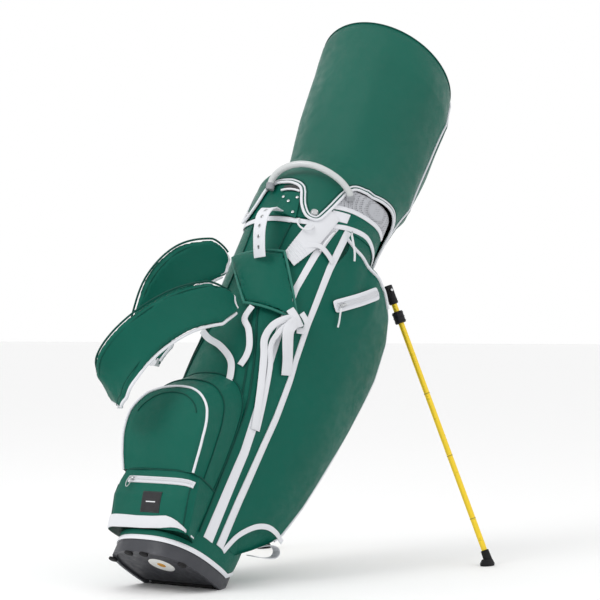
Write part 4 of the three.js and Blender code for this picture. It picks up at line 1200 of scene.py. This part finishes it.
# Carry handle: a bent tube sleeved in pale grey, held at each end by a collar of grey rubber with three
# moulded ribs.
HANDLE = [(-120, 862, 12), (-124, 872, 19), (-134, 884, 25), (-147, 893, 28), (-160, 897, 29),
          (-173, 893, 28), (-184, 880, 25), (-190, 862, 20), (-191, 842, 13)]
handle_sleeve = cast_grain(made_of("pale_grey_sleeve", (0.52, 0.54, 0.54), 0.3, coat=0.5), 700, 0.0002, 0.2)
grip_line = [wall(z, a, off) for a, z, off in smooth(HANDLE, 10)]
dress(tube("handle_tube", grip_line, 7.0, fine=6), handle_sleeve, "bag", "clear_tube", "carry_handle")
collar_rubber = cast_grain(made_of("grey_collar", (0.3, 0.31, 0.33), 0.55), 900, 0.0004)
for name, part in [("near", grip_line[:8]), ("far", grip_line[-8:])]:
    dress(tube(f"handle_collar_{name}", part, 8.6, fine=6), collar_rubber, "bag", "clear_tube")
    for k in (1, 3, 5):
        here, after = Vector(part[k]), Vector(part[k + 1])
        dress(disc(f"handle_rib_{name}_{k}", tuple(here), tuple(after - here), 9.3, 1.6, rim=0.6),
              collar_rubber, "bag", "clear_tube")


# Rain hood: one stiff shell of green leatherette with a flat tilted crown, its hem scalloped round the
# handle and the grips and bound in white piping. Steel snaps hold it, and a piped seam runs down its leg
# side.
HOOD_FREE, HOOD_TILT = 980, 0.152
HOOD_SLUMP = [(980, 40), (1220, 30), (1311, 22)]
HOOD_SWAY = [(980, -10), (1220, -6), (1311, 4)]
HOOD_RADIUS = [(980, 141), (1100, 151), (1220, 157), (1284, 157), (1300, 153), (1307, 142), (1310, 112),
               (1311, 12)]
HEM = [(0, 822), (46, 824), (52, 880), (60, 908), (76, 922), (92, 918), (108, 903), (122, 886), (132, 818),
       (138, 786), (148, 786), (156, 812), (162, 850), (172, 862), (180, 863)]
hem_line = smooth(HEM, 6)


def hem_at(angle):
    return knots(hem_line, abs((angle + 180) % 360 - 180))


def hood_point(z, angle, inset=0.0):
    c, s = math.cos(math.radians(angle)), math.sin(math.radians(angle))
    low = wall(813, angle, 7.35 - inset)
    free = max(z, HOOD_FREE)
    r = knots(HOOD_RADIUS, free) - inset
    high = (knots(HOOD_SLUMP, free) + r * c, knots(HOOD_SWAY, free) + r * s)
    if math.hypot(*high) > math.hypot(low[0], low[1]) + 1:
        t = clamp((z - 826) / 154) ** 1.9
    else:
        clear = max(cuff_head(wall(813, angle, 3)[0]) + 5, hem_at(angle) + 8)
        t = ease((z - clear) / (HOOD_FREE - clear))
    x, y = lerp(low[0], high[0], t), lerp(low[1], high[1], t)
    loose = ease((z - 900) / 120) * ease((1300 - z) / 60)
    fold = 1 + loose * (7.0 * noise.noise(Vector((c * 1.8, s * 1.8, z / 150))) +
                        1.6 * noise.noise(Vector((c * 4, s * 4, z / 300)))) / 150
    tilt = HOOD_TILT * ease((z - 1080) / 210) * (x - 22)
    return x * fold, y * fold, z - tilt


def hood_rows(v, angle):
    if v < 0.9:
        return lerp(hem_at(angle), 1298, v / 0.9)
    return lerp(1298, 1311, (v - 0.9) / 0.1)


hood = skin("hood_shell", 180, 110, lambda u, v: hood_point(hood_rows(v, 360 * u), 360 * u), wrap=True)
alone(hood)
bpy.ops.object.mode_set(mode="EDIT")
bpy.ops.mesh.select_all(action="DESELECT")
bpy.ops.object.mode_set(mode="OBJECT")
crown_at = at(22, 4, 1311)
for edge in hood.data.edges:
    ends = [hood.data.vertices[i].co for i in edge.vertices]
    edge.select = all((p - crown_at).length < 0.016 for p in ends)
for face in hood.data.polygons:
    face.select = False
bpy.ops.object.mode_set(mode="EDIT")
bpy.ops.mesh.select_mode(type="EDGE")
bpy.ops.mesh.edge_face_add()
bpy.ops.object.mode_set(mode="OBJECT")
apply(hood, "SOLIDIFY", thickness=0.0022, offset=-1)
hood_leather = leather_grain(made_of("hood_leatherette", GREEN, 0.4, blotch=0.16, blotch_scale=5, gloss=0.26),
                             620)
dress(hood, hood_leather, "hood", "green_leatherette", "rain_hood", angle=50)
hem_round = [hood_point(hem_at(a), a, -1.2) for a in range(0, 360, 2)]
dress(tube("hood_hem_piping", hem_round, 3.0, closed=True), white_leather, "hood", "white_leatherette")
HEM_SEAMS = [(7.5, white_leather, -0.4, 1.9), (12, green_piping, -0.2, 0.9)]
for count, (rise, material, off, radius) in enumerate(HEM_SEAMS):
    inner = []
    for i in range(180):
        a = 2 * i
        slope = (hem_at(a + 2) - hem_at(a - 2)) / (4 * math.pi / 180 * 140)
        lean = 1 / math.hypot(1, slope)
        shift = -slope * lean * rise / (140 * math.pi / 180)
        inner.append(hood_point(hem_at(a) + rise * lean, a + shift, off))
    dress(tube(f"hood_hem_seam_{count}", inner, radius, closed=True), material, "hood", "white_leatherette")
rim_round = [hood_point(1299, a, -0.6) for a in range(0, 360, 3)]
dress(tube("hood_crown_seam", rim_round, 1.8, closed=True), green_piping, "hood", "green_leatherette")
SEAM = smooth([(827, 47), (880, 50), (960, 58), (1060, 66), (1180, 66), (1250, 61), (1296, 57)], 8)
# beside each white seam piping runs a raised fold in the darker piping green; its darkness is painted shade of the
# hood's side turning away from the light
for side, hand in [(-1, "near"), (1, "far")]:
    for label, shift, material, radius in [("piping", 0, white_leather, 2.4),
                                           ("fold", 3.0, green_piping, 2.2)]:
        seam = [hood_point(z, side * (angle - shift), -1.2) for z, angle in SEAM]
        dress(tube(f"hood_seam_{label}_{hand}", seam, radius), material, "hood", "white_leatherette")
for name, angle, z in [("front_near", -143, 800), ("front_far", 143, 800), ("side_near", -42, 852),
                       ("side_far", 42, 852)]:
    x, y, _ = hood_point(z, angle, -0.4)
    out = (math.cos(math.radians(angle)), math.sin(math.radians(angle)), 0)
    dress(disc(f"hood_snap_cap_{name}", (x, y, z), out, 6.2, 3.0, sides=28, rim=1.3), steel, "hood", "steel",
          f"hood_snap_{name}")
    ring = [tuple(Vector((x, y, z)) + Vector(out) * 0.6 + 7.2 * (Vector((-out[1], out[0], 0)) * math.cos(a) +
                  Vector((0, 0, 1)) * math.sin(a))) for a in [i * math.pi / 12 for i in range(24)]]
    dress(tube(f"hood_snap_ring_{name}", ring, 0.8, closed=True), steel, "hood", "steel")


# Stand: two aluminium legs anodised yellow, hinged on slanted pins in a moulded bracket, with black caps,
# clamps and rubber feet. The flap in the base lifts a steel rod whose yoke spreads them.
for node, name in [("stand_bracket", "leg_bracket"), ("leg_yoke", "leg_yoke_moulding")]:
    eased_copy(node, name, black_plastic, "rod" if node == "leg_yoke" else "bag", "black_plastic", 0.0012)
ROD = [(121, 0, base_edge(121) + 12), (148, 0, 742)]
dress(tube("stand_rod", [tuple(Vector(ROD[0]).lerp(Vector(ROD[1]), t)) for t in (0, 0.5, 1)], 2.5, fine=4),
      steel, "rod", "steel", "actuator_rod")
PIVOT, FOOT = Vector((190, -98, 822)), Vector((588, -300, 395.2))
anodised = made_of("yellow_anodised", (0.85, 0.60, 0.02), 0.32, blotch=0.05, metallic=0.35, coat=0.4,
                   worn=0.08)
cast_grain(anodised, 1600, 0.0001, 0.2)
mark_paint = cast_grain(made_of("leg_mark", (0.42, 0.30, 0.03), 0.5), 1600, 0.0001)
for side, hand in [(-1, "near"), (1, "far")]:
    pivot, foot = [Vector((p.x, -side * p.y, p.z)) for p in (PIVOT, FOOT)]
    run = (foot - pivot).normalized()
    length = (foot - pivot).length
    body = f"leg_{hand}"
    dress(disc(f"leg_{hand}_tube", tuple(pivot + run * 30.4), tuple(run), 6.25, length - 56.4, sides=40,
               rim=0.6), anodised, body, "yellow_tube", f"leg_tube_{hand}")
    for share in (0.38, 0.61, 0.84):
        dress(disc(f"leg_{hand}_mark_{round(share * 100)}", tuple(pivot + run * length * share), tuple(run),
                   6.45, 2.2, sides=40, rim=0.1), mark_paint, body, "yellow_tube")
    eased_copy(f"leg_cap_{hand}", f"leg_{hand}_cap", black_plastic, body, "black_plastic", 0.0016)
    eased_copy(f"leg_clamp_{hand}", f"leg_{hand}_clamp", black_plastic, body, "black_plastic", 0.0012)
    eased_copy(f"leg_foot_{hand}", f"leg_{hand}_foot", black_rubber, body, "rubber", 0.001)
    for k in range(3):
        dress(disc(f"leg_{hand}_clamp_ring_{k}", tuple(pivot + run * (51 + 9 * k)), tuple(run), 12.7, 2.4,
                   sides=32, rim=0.8), black_plastic, body, "black_plastic")
    for k in range(2):
        dress(disc(f"leg_{hand}_cap_ring_{k}", tuple(pivot + run * (19 + 6 * k)), tuple(run), 10.7, 2.0,
                   sides=32, rim=0.7), black_plastic, body, "black_plastic")
